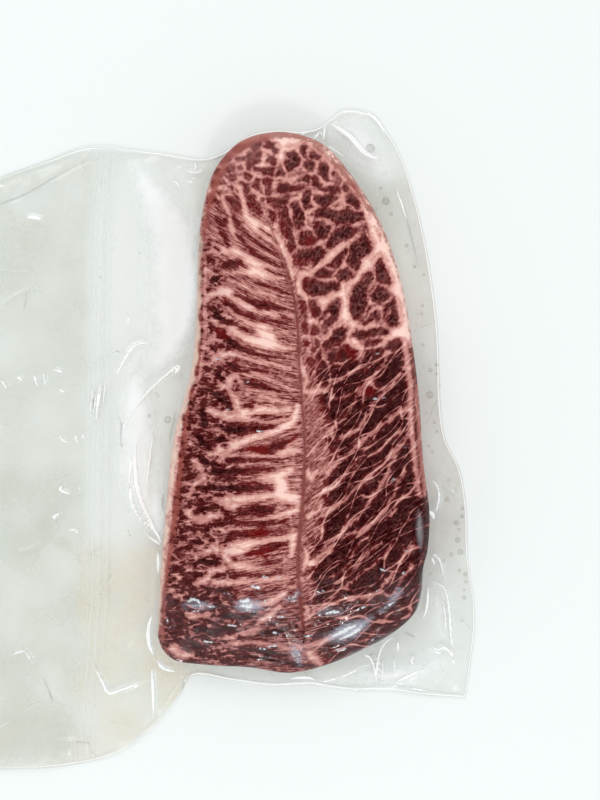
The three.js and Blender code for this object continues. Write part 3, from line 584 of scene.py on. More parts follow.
# %% [markdown]
# ## Fibre coordinates
#
# In the left muscle the fibres sweep down to the seam like the barbs of a feather. In the right one they
# rise away from it. A fibre that meets the seam at height v lies at y = v + a(v) s + b(v) s², where s is
# how far a place is from the seam. Turning that round gives each place its v, and streaks of equal v then
# follow the fibres.

# %% Solve for the fibre that passes each place
LEFT_FIBRES = np.array([
    (-95, 0, 0), (-80, -0.15, 0), (-65, -0.2, 0), (-50, -0.15, 0), (-35, -0.05, 0), (-25, 0, 0),
    (-18, -0.1, 0), (-10, -0.25, 0), (-4, -0.1, 0), (3, 0.15, 0.002), (10, 0.2, 0.003), (20, 0.12, 0.007),
    (31, 0.16, 0.01), (40, 0.28, 0.01), (50, 0.5, 0.011), (62, 0.85, 0.012), (75, 1.1, 0.012),
])
RIGHT_FIBRES = np.array([
    (-95, 0.05, 0), (-85, 0.1, 0.002), (-75, 0.2, 0.006), (-65, 0.45, 0.01), (-55, 0.65, 0.011),
    (-45, 0.85, 0.005), (-30, 0.9, 0.001), (-15, 1.0, 0), (0, 1.1, 0), (20, 1.1, 0), (100, 1.1, 0),
])


STEPS_TO_FIBRE, SHARE_OF_STEP = 40, 0.35
LENS_HEIGHT, READ_HEIGHT = 408.5, 21.2
LENS_PLACE = np.array([35.2, 15.0])
STRETCH_LEFT, STRETCH_RIGHT, MUSCLES_APART = 1.05, 1.4, 40.0


def fibre_height(s, y, table):
    """The height v at which a place's fibre meets the seam: v steps towards y - a(v) s - b(v) s²."""
    v = y.copy()
    for _ in range(STEPS_TO_FIBRE):
        slope, bend = (np.interp(v, table[:, 0], table[:, k]) for k in (1, 2))
        v += SHARE_OF_STEP * (y - slope * s - bend * s * s - v)
    return v


def seen_on_top(points):
    """Where a place appears on the plane of the steak's top, seen by the camera and measured from the
    steak's middle: its offset from the camera's axis grows by the ratio of the two distances to the lens."""
    scale = (LENS_HEIGHT - READ_HEIGHT) / (LENS_HEIGHT - points[:, 2:])
    return LENS_PLACE + (points[:, :2] + STEAK_PLACE - LENS_PLACE) * scale - STEAK_PLACE


flat = steak_grid.reshape(-1, 3)
seen = seen_on_top(flat)
seen_x, seen_y = seen.T
from_seam = seen_x - np.interp(seen_y, seam_line[::-1, 1], seam_line[::-1, 0])
left_v = fibre_height(np.maximum(-from_seam, 0), seen_y, LEFT_FIBRES)
right_v = fibre_height(np.maximum(from_seam, 0), seen_y, RIGHT_FIBRES)
is_left = from_seam < 0
along_it = np.abs(from_seam) * np.where(is_left, STRETCH_LEFT, STRETCH_RIGHT)
fibre = np.column_stack([along_it, np.where(is_left, left_v, right_v), is_left * MUSCLES_APART])
print("fibres meet the seam between", fibre[:, 1].min().round(), "and", fibre[:, 1].max().round(), "mm")

# %% [markdown]
# ## From strokes to fields
#
# Listed cells leave veins of uneven and often wrong width between them. It works better to let every
# cell grow until it meets the next one, and to keep a vein of the right width where they meet.

# %% Pack the dark cells
OUTSIDE_FAT, OUTSIDE_RIM = -9.0, -5.0


def packed_cells(xy, strokes, vein, growth, reach=6.0):
    """Grows every dark cell until it meets the next one or has grown by the given amount. With d1 and d2 the
    distances to the nearest two cells, a place is vein / 2 - (d2 - d1) / 2 inside the fat between them."""
    first, second = np.full((2, len(xy)), OUTSIDE_FAT)
    for stroke in strokes:
        near = close_to(xy, stroke, reach)
        depth = inside_of(xy[near], stroke)
        second[near] = np.maximum(second[near], np.minimum(first[near], depth))
        first[near] = np.maximum(first[near], depth)
    return np.maximum(vein / 2 - (first - second) / 2, -first - growth)


print("cells are packed from", len(CELL_LEAN + TIP_LEAN), "strokes")

# %% [markdown]
# ## Zones of the top
#
# The two muscles, the steak's tip and its left edge each have a texture of their own. Each zone is a mask
# with soft edges, worked out from the distance to the seam and from the height, so the textures fade into
# one another.

# %% Zones of the top
seen_grid = seen.reshape(*steak_grid.shape[:2], 2)
widest = seen_grid[TOP_ROWS - 1 + int(np.flatnonzero(SIDE_TURNS == 0)[0]) + 1]
to_edge = np.hypot(*(seen_grid - widest).transpose(2, 0, 1)).ravel()
net_end = eased(seen_y - 0.2 * seen_x, 8, 18) * eased(from_seam, 1, 4)
tip_end = eased(seen_y + 0.25 * seen_x, 62, 70)
cells_share = np.maximum(net_end, tip_end)
outer_left = 1 - eased(from_seam, -27, -19)
middle = (1 - outer_left) * (1 - eased(from_seam, -1, 0.5))
ZONE_HEIGHTS, ZONE_WIDTHS = [-80, -60, -45, -20, 5, 30], [1, 2, 4, 7, 4, 2]
seam_zone = np.interp(seen_y, ZONE_HEIGHTS, ZONE_WIDTHS) + 1.5 * soft_noise(*seen.T, 9, 36)
beside_seam = eased(from_seam, 0, 1) * (1 - eased(from_seam - seam_zone, 0, 5))
far_right = eased(from_seam - seam_zone, 0, 7)
print("a net of cells covers", round(100 * float(cells_share.mean())), "% of the skin")

# %% [markdown]
# ## The field of fat
#
# The field starts from a plain depth for each zone, below 0 where the muscle is lean. Cells, veins and dark
# tongues are laid into it one after the other, and a band of fat is laid along the steak's edge at the end.

# %% Depth of the fat
STROKE_STRENGTH, FAT_BAND = 1.45, 1.4


def sideways(length, seed):
    """Two soft noises side by side, to move places in x and in y."""
    return np.column_stack([soft_noise(*seen.T, length, seed), soft_noise(*seen.T, length, seed + 1)])


fat = -0.4 * outer_left * (1 - 0.7 * eased(seen_y, 0, 30)) + 0.05 * middle - 1.35 * far_right
fat += lerp(-0.25, 0.35, far_right) * eased(-seen_y, 62, 74)
bent = seen + 0.3 * sideways(5, 31) + 0.12 * sideways(2.2, 33)
vein_width = lerp(0.66, 0.95, tip_end) * (1 + 0.7 * soft_noise(*seen.T, 8, 35))
cells = packed_cells(bent, CELL_LEAN + TIP_LEAN, vein_width, lerp(1.38, 1.25, tip_end))
left_fat = field_of(LEFT_FAT, seen, OUTSIDE_FAT, grow=0.2)
fat = np.maximum(fat, left_fat)
paint(fat, seen, LEFT_LEAN, fat=False, grow=-0.15)
fat = lerp(fat, np.maximum(cells, left_fat), cells_share)
veins = field_of(NET_FAT, bent, OUTSIDE_FAT) - 0.4 * (1 - cells_share) * far_right
fat = np.maximum(fat, veins)
paint(fat, seen, EDGE_FAT)
fat = np.maximum(fat, FAT_BAND - to_edge - 9 * eased(from_seam, -20, -10) - 9 * eased(-seen_y, 70, 86))
fat *= STROKE_STRENGTH
fat_on_top = eased(fat, -0.4, 0.5)[: TOP_ROWS * STEAK_COLUMNS].mean()
print("about", round(100 * float(fat_on_top)), "% of the top is fat")

# %% [markdown]
# ## Rim, seam and masks
#
# A brown membrane and a little cream fat follow the edge, and a thin brown line the seam. The thin slanted
# veins of the right muscle are evenly spaced lines in turned coordinates. The masks say how blotchy,
# streaky or netted each place is, and how dark its lean.

# %% Membrane, net and redness
NET_MIDDLE = np.array([25.0, -62.0])
MEMBRANE_BAND, CREAM_BAND = 1.5, 1.5
membrane = field_of(MEMBRANE, seen, OUTSIDE_RIM, grow=-0.3)
membrane = np.maximum(membrane, MEMBRANE_BAND - to_edge - 6 * (1 - eased(seen_y, 52, 70)))
lean_of_net = lerp(0.35, 0.8, eased(seen_y, -85, -52))
net_rel = seen - NET_MIDDLE
net_along = net_rel[:, 0] * np.cos(lean_of_net) + net_rel[:, 1] * np.sin(lean_of_net)
net_across = net_rel[:, 1] * np.cos(lean_of_net) - net_rel[:, 0] * np.sin(lean_of_net)
net_place = np.column_stack([net_along, net_across, 0 * net_along])
redness = field_of(RED_PATCHES, seen, OUTSIDE_RIM)
cream = CREAM_BAND + 0.5 * soft_noise(*seen.T, 7, 37) - to_edge
cream = cream - 4 * eased(from_seam, -20, -10) - 4 * eased(-seen_y, 80, 90)
print("the net leans by", lean_of_net.min().round(2), "to", lean_of_net.max().round(2), "radians")

# %% [markdown]
# ## Masks of texture and tone
#
# The material mixes noises that suit each zone. Three masks say how much of each it takes, a fourth how dark
# the lean is, and the distance to the seam is counted in half widths of the seam's brown line.

# %% Masks of texture and tone
blotchy = 0.15 + 0.85 * outer_left * (1 - cells_share) + 0.15 * cells_share
streaky = np.maximum(middle, 0.22) * (1 - 0.6 * cells_share) + 0.45 * beside_seam * (1 - cells_share)
netted = eased(from_seam - seam_zone, -3, 4) * (1 - cells_share)
pattern = np.column_stack([blotchy, streaky, netted])
deep = np.clip(0.15 + 0.75 * outer_left + 0.75 * far_right - 0.35 * cells_share, 0, 1)
deep = np.maximum(deep, eased(-seen_y, 62, 80) * 0.9)
seam_half = lerp(0.45, 0.85, eased(-seen_y, 10, 40))
past_seam = eased(seen_y, 40, 56) + eased(-seen_y, 80, 88)
seam_mark = np.abs(from_seam) / seam_half + 3 * past_seam
print("the lean is dark over", round(100 * float(deep.mean())), "% of the skin")


# %% [markdown]
# ## The clear pouch
#
# The pouch is two sheets of clear film, welded round the meat. Under vacuum they touch it all over, come
# away from it at its widest line and meet a little further out. Beside the steak lies the loose mouth, with
# a pocket of air where the weld ends. The loose films are a grid too: columns follow the pouch's edge, and
# each row is a share of the way from the meat to that edge. The upper film is drawn first, and the same
# grid turns back as the lower film.

# %% The pouch's edge
MOUTH_EDGE = [(-102, 91), (-102, -126)]
LOWER_EDGE = [
    (-102, -126), (-79, -126), (-56, -125), (-36, -120.5), (-22, -110.5), (-11, -98), (-5.5, -90.5),
    (9, -92.5), (24, -94.5), (39, -94), (54, -96), (69.5, -96), (85, -98), (98.5, -99),
]
SEALED_END = [
    (98.5, -99), (101, -82), (102, -65), (99.5, -46), (99, -27), (96.5, -12), (91, 0), (89, 15),
    (88, 41.5), (84.5, 68), (79, 93), (72.5, 111), (64, 124),
]
UPPER_EDGE = [
    (64, 124), (52.5, 126), (43.5, 120), (36, 118), (25.5, 118.5), (16, 116.5), (7.5, 111), (-3, 107.5),
    (-22, 110), (-45, 111.5), (-62, 106.5), (-79, 100.5), (-102, 91),
]
POUCH_STEP = 1.0
GAP = 0.3
FILMS_APART = 1.0


def evenly(run, step):
    """A smooth line through the points in equal steps of about the given length, without its last point."""
    length = np.hypot(*np.diff(smooth_run(run, 200)[:, :2], axis=0).T).sum()
    return smooth_run(run, int(round(length / step)))[:-1]


def facing(points):
    """The place on the outline, and its outward direction, that lie the same way from the steak's middle."""
    turn, turn_of_ring = np.arctan2(points[:, 1], points[:, 0]), np.arctan2(ring[:, 1], ring[:, 0])
    columns = [np.interp(turn, turn_of_ring, values, period=2 * np.pi) for values in (*ring.T, *outward.T)]
    return np.stack(columns[:2], axis=1), np.stack(columns[2:], axis=1)


pouch_edge = np.vstack([evenly(run, POUCH_STEP) for run in (MOUTH_EDGE, LOWER_EDGE, SEALED_END, UPPER_EDGE)])
wall_at, wall_out = facing(pouch_edge - STEAK_PLACE)
pouch_wall = wall_at + GAP * wall_out + STEAK_PLACE
reach = np.hypot(*(pouch_edge - pouch_wall).T)
print(len(pouch_edge), "columns, between", reach.min().round(1), "and", reach.max().round(1), "mm of film")

# %% [markdown]
# ## How high the loose film lies
#
# Loose film isn't flat: it ripples in broad low waves, the solid's own formula again. Beside the weld a
# long pocket of air lifts the upper film. Both are plain functions of the place, so the two films can share
# them.

# %% Ripples, the web and the pocket of air
WEB_REACH = 9.0
RIPPLE, RIPPLE_LENGTH = 1.2, 52.0
RIPPLE_START, RIPPLE_FULL = 6.0, 30.0
POCKET_FROM, POCKET_TO = np.array([-27.0, 22.0]), np.array([-33.0, -68.0])
POCKET_HALF_WIDTH, POCKET_HEIGHT = 11.0, 4.5


def ripple(x, y, away):
    """How high the loose lower film stands: crossed sine waves, growing with the distance from the meat."""
    turn = 2 * np.pi / RIPPLE_LENGTH
    wave = np.sin(turn * (x + 9 * np.sin(turn * 0.7 * y))) * np.cos(turn * 0.8 * (y - 0.4 * x))
    return RIPPLE * (0.5 + 0.5 * wave) * eased(away, RIPPLE_START, RIPPLE_FULL)


def air_pocket(x, y):
    """The pocket of air: a bell across its middle line, exp(-across²), that fades past both ends."""
    along = np.clip((y - POCKET_FROM[1]) / (POCKET_TO[1] - POCKET_FROM[1]), 0, 1)
    across = (x - lerp(POCKET_FROM[0], POCKET_TO[0], along)) / POCKET_HALF_WIDTH
    past = np.maximum(np.maximum(y - POCKET_FROM[1], POCKET_TO[1] - y), 0) / POCKET_HALF_WIDTH
    return POCKET_HEIGHT * np.exp(-(across**2) - past**2)


print("ripples rise to", RIPPLE, "mm, and the pocket of air to", POCKET_HEIGHT, "mm")


# %% [markdown]
# ## Creases, folds and the weld
#
# What makes clear film visible is its creases. They are laid as strokes again: bright ones are ridges,
# painted white as painted highlights where they would catch light, and dark ones are valleys, painted grey
# as painted shade. Sheen marks where the film stands off, whitened as painted sheen as well as milk, and
# juice where a brownish film of liquid lies between the sheets.

# %% Strokes on the loose film
# Ridges: each is raised in the mesh and painted white as a painted highlight.
BRIGHT_CREASES = [
    [(-69, 84.6, 0.6), (-66.5, 84.6, 1.1), (-63, 83.8, 0.7)],
    [(-36, 22, 0.5), (-34, 25, 0.6), (-31, 31, 0.6), (-27, 36, 0.6), (-20, 37, 0.5)],
    [(-10, 30, 0.9), (-14, 26, 1.2), (-20, 20.5, 0.7), (-28, 11, 0.5), (-32, 2, 0.5), (-30, -3, 0.5)],
    [(-10, 28.6, 0.5), (-11.4, 26.6, 0.8), (-12.6, 24.6, 0.5)],
    [(-10.6, 103.4, 0.3), (-7, 102, 0.4), (-3, 102, 0.5), (-1, 104, 0.3)],
    [(-6, 107, 0.3), (-4.6, 104, 0.5), (-6, 101, 0.3)],
    [(-14, 99, 0.3), (-11.6, 97.4, 0.5), (-10.4, 95, 0.3)],
    [(-9, 99.6, 0.3), (-6.4, 98, 0.4), (-5, 99.4, 0.3)],
    [(-28, -3, 0.5), (-29, -10, 0.6), (-29, -18, 0.7), (-28, -25, 0.8), (-25, -30, 0.7), (-20, -37, 0.6)],
    [(-26, 2, 0.4), (-27, -8, 1.2), (-26.6, -16, 1.8), (-24.6, -24, 1.6), (-21.4, -31, 1.1),
     (-18.4, -38, 0.6)],
    [(-20, 5, 0.3), (-21.5, -5, 0.6), (-22.6, -15, 0.7), (-22, -24, 0.5)],
    [(-24, -30, 0.5), (-20, -34.5, 0.7), (-16.6, -40, 0.6)],
    [(-26, -33, 0.4), (-22, -37, 0.6), (-17, -40.5, 0.7)],
    [(-19, -42, 0.6), (-18.6, -46, 0.9), (-18.6, -51, 0.7)],
    [(-44, 21, 0.5), (-44.4, 16, 0.6), (-45, 9, 0.5)],
    [(-41, 23, 0.5), (-42, 15, 0.6), (-43, 3, 0.5)],
    [(-39, 24, 0.5), (-40, 12, 0.5)],
    [(-66.4, 24.6, 0.7), (-65, 20.6, 0.8)],
    [(-72.4, 23.6, 0.9), (-71, 22.6, 0.8)],
    [(-62.6, 25, 0.6), (-62, 20.6, 0.6)],
    [(-58.6, 26.6, 0.6), (-55, 25.4, 0.6)],
    [(-57, 19, 0.5), (-54.4, 17.8, 0.5)],
    [(-79, 23, 0.5), (-76, 18.4, 0.6)],
    [(-57, 2.4, 0.5), (-55.6, 0, 0.6), (-53, -1.6, 0.6)],
    [(-50.6, 2, 0.6), (-49.6, -2, 0.5)],
    [(-47.6, 1.8, 0.6), (-47.4, 0.4, 0.5)],
    [(-55.6, -17.4, 0.7), (-56, -19.6, 0.9), (-51.6, -21, 0.5)],
    [(-50, -18, 0.4), (-48, -20, 0.5)],
    [(-56, -28, 0.5), (-59, -29.6, 0.6), (-58, -31, 0.8)],
    [(-54, -35, 0.5), (-50.4, -34.6, 0.5), (-49, -38, 0.4)],
    [(-20.6, -65, 0.3), (-22.4, -71, 0.9), (-22.4, -78, 1.1), (-20, -84, 0.5)],
    [(-20, -83, 0.4), (-17, -87.4, 0.8), (-11, -88.6, 0.5)],
    [(-30.4, 44, 0.4), (-30, 47, 0.5)],
    [(46, 121, 0.8), (51, 118, 1.4), (55, 115, 1.8), (60, 109.4, 2), (66, 106.4, 1.2)],
    [(40, 113, 0.4), (43, 118, 0.6)],
    [(44, 113, 0.5), (45, 121, 0.6)],
    [(35, 115.6, 0.4), (38, 117.6, 0.5)],
    [(44, 112, 0.4), (53, 107, 0.5)],
    [(58, 127, 0.5), (62, 124, 0.7), (66, 120, 0.7), (68, 114, 0.5)],
    [(71, 97, 0.5), (74, 90, 0.6), (78, 78, 0.5)],
    [(84.6, -43, 0.4), (87, -44.4, 0.6), (89, -47.6, 0.5), (89.8, -54.4, 0.4)],
    [(85, -44, 0.4), (86.6, -48, 0.6)],
    [(82.7, -53.3, 0.5), (88.7, -55.6, 0.65), (90.8, -58, 0.6), (92.1, -65.4, 0.6), (93, -77.5, 0.65),
     (94.3, -84.4, 0.5)],
    [(88, -57.3, 0.3), (90.4, -66, 0.45), (90.8, -78, 0.4)],
    [(83.6, -55, 0.5), (84, -60, 0.7), (83, -66, 0.6), (80.6, -70, 0.5)],
    [(83.5, -14, 0.3), (87, -17, 0.5), (88.2, -21.5, 0.5), (87.4, -26, 0.6), (85.6, -29.4, 0.5)],
    [(83.5, -26.6, 0.6), (85.5, -28.6, 1.2), (86, -30, 0.6)],
    [(64.4, -97, 0.4), (64.6, -88, 0.6), (66, -80, 0.5), (69, -75.4, 0.6), (73, -76.4, 0.4)],
    [(66.6, -97, 0.3), (66.7, -88, 0.45), (67, -81.6, 0.3)],
    [(72, -77, 0.4), (72.6, -79, 0.7), (72.4, -82, 0.3)],
    [(58, -81, 0.4), (61.6, -83, 0.6), (63.6, -88, 0.5), (63.8, -94, 0.3)],
    [(71, -82, 0.3), (71.2, -86, 0.5), (70.6, -90, 0.4)],
    [(78.6, -81.8, 0.3), (77.8, -85, 0.6), (79.4, -86, 0.4)],
    [(84, -78.8, 0.4), (88, -80.2, 0.6), (90.8, -79.6, 0.5), (94, -84.2, 0.5)],
    [(91.6, -80.4, 0.6), (94, -83.6, 0.5)],
    [(70, -94, 0.4), (75, -91, 0.7), (84, -86.6, 0.4)],
    [(30, -91.2, 0.5), (38, -90.8, 0.8), (42, -92.8, 0.5)],
    [(45, -95.6, 0.5), (52, -97, 0.6), (60, -95, 0.5)],
    [(-76, -83, 0.4), (-70, -81, 0.7), (-66, -87, 0.6)],
    [(-45, -84, 0.5), (-40, -93, 0.6), (-38, -97, 0.7), (-33, -95.6, 0.6), (-27, -93, 0.7),
     (-23, -91, 0.5)],
    [(-21.6, -85, 0.5), (-21, -96, 0.7), (-20.6, -108, 0.5)],
]
# Valleys: each is sunk a little in the mesh and painted grey as painted shade.
DARK_CREASES = [
    [(-102, 82, 0.7), (-90, 86, 0.7), (-80, 89.5, 0.7), (-70, 93.5, 0.7), (-60, 99, 0.7),
     (-50, 104.5, 0.7), (-45, 106.5, 0.7), (-38, 107.6, 0.6)],
    [(-79, 84.6, 0.5), (-74, 87.4, 0.5)],
    [(-68.6, 84, 0.6), (-68, 78, 0.7), (-68.6, 66, 0.8), (-70, 50, 0.7), (-75, 40, 0.5)],
    [(2.4, 107, 0.5), (5, 108.6, 0.8), (7.4, 110.8, 0.6)],
    [(-33.4, 10, 0.4), (-32.4, 5, 0.5), (-32.6, 0, 0.6), (-32, -4, 0.5)],
    [(-30, -34, 0.5), (-28.8, -37, 0.5)],
    [(-19.6, 18, 0.5), (-18.4, 16.2, 0.5)],
    [(-35, 33.6, 0.5), (-33, 33.2, 0.5)],
    [(-11.6, 12, 0.5), (-13.4, 3, 0.9), (-13.8, -3, 0.5)],
    [(-16, -20, 0.4), (-16.8, -24, 0.8), (-16, -28, 0.4)],
    [(-70, -82, 0.5), (-62, -93, 0.6), (-58, -105, 0.7), (-56, -112, 0.5)],
    [(-33, -120, 0.6), (-27, -115, 0.7), (-21, -110, 0.6)],
    [(-80, -113, 0.5), (-66, -114.4, 0.6), (-55, -115, 0.6), (-40, -117, 0.5)],
    [(-10, -98, 0.6), (-9.4, -94, 0.7), (-8.6, -89, 0.5)],
    [(73, 97, 0.5), (77, 80, 0.6), (80, 68, 0.6), (81, 60, 0.5)],
    [(83.6, -52, 0.5), (86, -50.6, 0.7)],
    [(60, -83, 0.6), (64, -81, 0.5)],
    [(74, -72.6, 0.5), (77, -74.6, 0.6), (80, -76, 0.4)],
    [(70, -95.6, 0.5), (80, -96.6, 0.6), (90, -99, 0.5)],
    [(92, -7, 0.4), (94.6, -9.6, 0.5)],
]
# Painted sheen: broad strokes where the film is whitened, partly its own milkiness where it stands off.
SHEEN = [
    [(-27, 104, 3), (-21, 92, 8), (-15, 80, 11), (-13, 66, 12), (-12, 52, 12), (-13, 40, 9), (-18, 30, 6)],
    [(-27, 22, 5), (-26, 4, 8), (-25, -10, 9), (-23, -22, 8), (-19, -32, 5)],
    [(50, 118, 4), (56, 118, 6), (60, 112, 7), (66, 104, 5)],
    [(58, -90, 3), (74, -90, 5), (86, -86, 4)],
    [(74, -92, 2.6), (79, -90, 4), (86, -87, 2.4)],
    [(88, -58, 1), (88, -66, 2), (89, -74, 1)],
    [(62, -92, 3), (67, -93, 3)],
    [(8, -91, 1), (28, -93.4, 2), (48, -92, 3), (58, -90, 2)],
]
JUICE = [
    [(-44, -46, 5), (-44, -62, 6), (-44, -76, 4)],
    [(-33, -30, 2.4), (-32, -45, 4), (-27, -62, 5), (-24, -76, 4)],
    [(-35, -8, 2), (-34, -20, 3)],
    [(-13.4, 10, 2.2), (-13.6, -6, 2.2), (-14.6, -30, 1.6), (-16.6, -60, 1.6)],
    [(-15, 7.4, 1.6)],
]

# %% [markdown]
# ## From strokes to sharp lines
#
# A crease is thinner than the steps of the grid, so its height alone would look blurred. The mesh carries
# the signed distance to the nearest crease as well. That number runs evenly across the line, so the
# material can draw a sharp edge between two vertices.

# %% Lay the creases
print(len(BRIGHT_CREASES), "ridges and", len(DARK_CREASES), "valleys in the film")
FADE_FROM, FADE = 0.8, 4.0


def tapered(strokes):
    """The same strokes with pointed ends: their half width follows the root of a sine along their length."""
    runs = [smooth_run(stroke, 16) for stroke in strokes]
    fade = np.sqrt(np.sin(np.linspace(0, np.pi, 17)).clip(0))
    return [np.column_stack([run[:, :2], lerp(-0.3, 0.95 * run[:, 2], fade)]) for run in runs]


def crease_lines(xy, strokes, kinds, reach=3.5):
    """Half width, signed distance and kind of the nearest crease. The distance is a cross product with the
    crease's direction, so it passes evenly through 0 on the line and the material can draw it sharply.
    Away from its line the width falls below 0, which hides the jumps between neighbours."""
    best, width, side, kind = (np.full(len(xy), value) for value in (-9.0, -9.0, 9.0, 0.0))
    for stroke, own_kind in zip(strokes, kinds):
        near = close_to(xy, stroke, reach)
        for a, b in zip(stroke[:-1], stroke[1:]):
            along, step = b[:2] - a[:2], xy[near] - a[:2]
            length = max(np.hypot(*along), 1e-6)
            part = np.clip(step @ along / length**2, 0, 1)
            gap = np.hypot(*(step - part[:, None] * along).T)
            own = lerp(a[2], b[2], part)
            better = own - gap > best[near]
            hit = near[better]
            best[hit] = (own - gap)[better]
            width[hit] = (own - FADE * np.maximum(gap - FADE_FROM, 0))[better]
            side[hit] = ((along[0] * step[:, 1] - along[1] * step[:, 0]) / length)[better]
            kind[hit] = own_kind
    return width, side, kind


# %% [markdown]
# ## The weld
#
# The band where the two films are welded bends a little from end to end. Its middle is a line through a few
# points, and each place knows how far it lies to the right of that line and how deep inside the band.

# %% The weld band
WELD_LINE = np.array([
    (-38.6, 112), (-40.6, 90), (-41.4, 75), (-42, 20), (-42.6, -60), (-44, -80), (-47, -116),
])
WELD_HALF_WIDTH = 5.2


def weld_of(x, y):
    """How far right of the weld's middle each place lies, and how far inside the weld."""
    across = x - np.interp(-y, -WELD_LINE[:, 1], WELD_LINE[:, 0])
    return across, WELD_HALF_WIDTH - np.abs(across)


print("the weld is", 2 * WELD_HALF_WIDTH, "mm wide")

# %% [markdown]
# ## Both loose films from one grid
#
# Between the meat and the pouch's edge the rows lie close together at first, where the film swings down
# from the meat, and evenly after that. The veil says how milky the film is at each place, warm and pink how
# its liquid colours it.

# %% Fields of the loose film
OUTSIDE_CREASE, OUTSIDE_SHEEN = -6.0, -12.0
WEB_ROWS, SKIRT_ROWS, LOWER_ROWS = 14, 84, 9
RIDGE_PER_WIDTH, VALLEY_PER_WIDTH = 0.45, 0.25
web_share = np.minimum(WEB_REACH / reach, 0.5)
row_shares = [web_share * k / WEB_ROWS for k in range(WEB_ROWS)]
row_shares += [lerp(web_share, 1, k / SKIRT_ROWS) for k in range(SKIRT_ROWS + 1)]
share = np.stack(row_shares)[..., None]
upper_xy = lerp(pouch_wall, pouch_edge, share)
away = share[..., 0] * reach
x, y = upper_xy[..., 0], upper_xy[..., 1]

xy = upper_xy.reshape(-1, 2)
bright_runs, dark_runs = tapered(BRIGHT_CREASES), tapered(DARK_CREASES)
bright = field_of(BRIGHT_CREASES, xy, OUTSIDE_CREASE).reshape(x.shape)
dark = field_of(DARK_CREASES, xy, OUTSIDE_CREASE).reshape(x.shape)
crease_kinds = [1] * len(bright_runs) + [-1] * len(dark_runs)
creases = np.stack(crease_lines(xy, bright_runs + dark_runs, crease_kinds)).reshape(3, *x.shape)
sheen = field_of(SHEEN, xy, OUTSIDE_SHEEN, reach=12).reshape(x.shape)
juice = field_of(JUICE, xy, OUTSIDE_SHEEN, reach=12).reshape(x.shape)
weld_across, weld_depth = weld_of(x, y)
in_mouth = 1 - eased(weld_across, -7, -2)
beside = 1 - eased(x, -8, 4)
veil = 0.22 * (1 - beside) + 0.04 * beside
veil = lerp(veil, 0.1, eased(y, 96, 108))
veil = lerp(veil, 0.08, eased(x - y, 130, 160))
veil = lerp(veil, 0.24, beside * eased(-y, 34, 46))
veil = lerp(veil, 0.27 + 0.07 * eased(-y, 0, 40), in_mouth)
facets = 0.3 * np.tanh(3 * soft_noise(x, y, 48, 41)) + 0.25 * soft_noise(x, y, 22, 42)
veil = veil * (1 + 0.6 * facets)
warm = 0.85 * beside * eased(-y, 30, 44) * (1 - 0.85 * in_mouth) + 0.1
pink = 0.75 * eased(x, 70, 84) * eased(x - y, 160, 130)
edge_line = 0.5 - np.abs(reach - away - 0.7)

print("the veil lies between", veil.min().round(2), "and", veil.max().round(2))

# %% [markdown]
# ## Heights of the two films
#
# The lower film lies on the ripples. The upper one adds the gap between the films, the web that climbs to
# the meat, the pocket of air, wrinkles and creases. The weld presses all of them flat.

# %% The loose films
LEAST_GAP, LOWER_HEIGHT = 0.25, 0.1
loose = eased(away, 3, 14) * eased(reach - away, 0, 6)
wrinkle = 0.2 * soft_noise(x, y, 17, 3) + 0.05 * soft_noise(x, y, 6, 8)
ridges = RIDGE_PER_WIDTH * eased(bright, -1.2, 0.9) - VALLEY_PER_WIDTH * eased(dark, -1.2, 0.9)
flat_weld = 1 - 0.85 * eased(weld_depth, -1.5, 1.5)
lift = air_pocket(x, y) * eased(away, 0, 8) * eased(reach - away, 0, 8) * lerp(1, 0.5, eased(-y, 46, 72))
apart = lerp(0.3, FILMS_APART, eased(reach - away, 0, np.minimum(10, reach)))
apart = apart * lerp(1, 0.6, eased(weld_depth, -1.5, 1.5))
web = np.maximum(1 - away / np.minimum(WEB_REACH, reach), 0) ** 2 * (WIDEST_HEIGHT - FILMS_APART)
ground = ripple(x, y, away)
upper_z = ground + apart + web + (lift + wrinkle * loose) * flat_weld + ridges * eased(away, 0, 2)
upper_z = np.maximum(upper_z, ground + LEAST_GAP)
upper_film = np.concatenate([upper_xy, upper_z[..., None]], axis=2)

lower_share = np.linspace(1, 0, LOWER_ROWS)[:, None, None]
lower_xy = lerp(pouch_wall, pouch_edge, lower_share)
lower_z = ripple(lower_xy[..., 0], lower_xy[..., 1], lower_share[..., 0] * reach) + LOWER_HEIGHT
lower_film = np.concatenate([lower_xy, lower_z[..., None]], axis=2)
inner = lerp(np.array([*STEAK_PLACE, LOWER_HEIGHT]), lower_film[-1], np.array([0.5, 0])[:, None, None])
pouch_grid = np.concatenate([upper_film, lower_film, inner])
print("the loose films are a grid of", pouch_grid.shape[0], "by", pouch_grid.shape[1])

# %% [markdown]
# ## The film over the meat
#
# On the meat the film is so tight that only its shine shows. It is the steak's own surface, moved out by a
# fraction of a millimetre and puckered where the film gathers at both ends. Glints are small raised dents
# that mirror the window, and they are also painted white as painted highlights. Glows are painted
# reflections of the window: whitish-lilac patches where the film gathers.

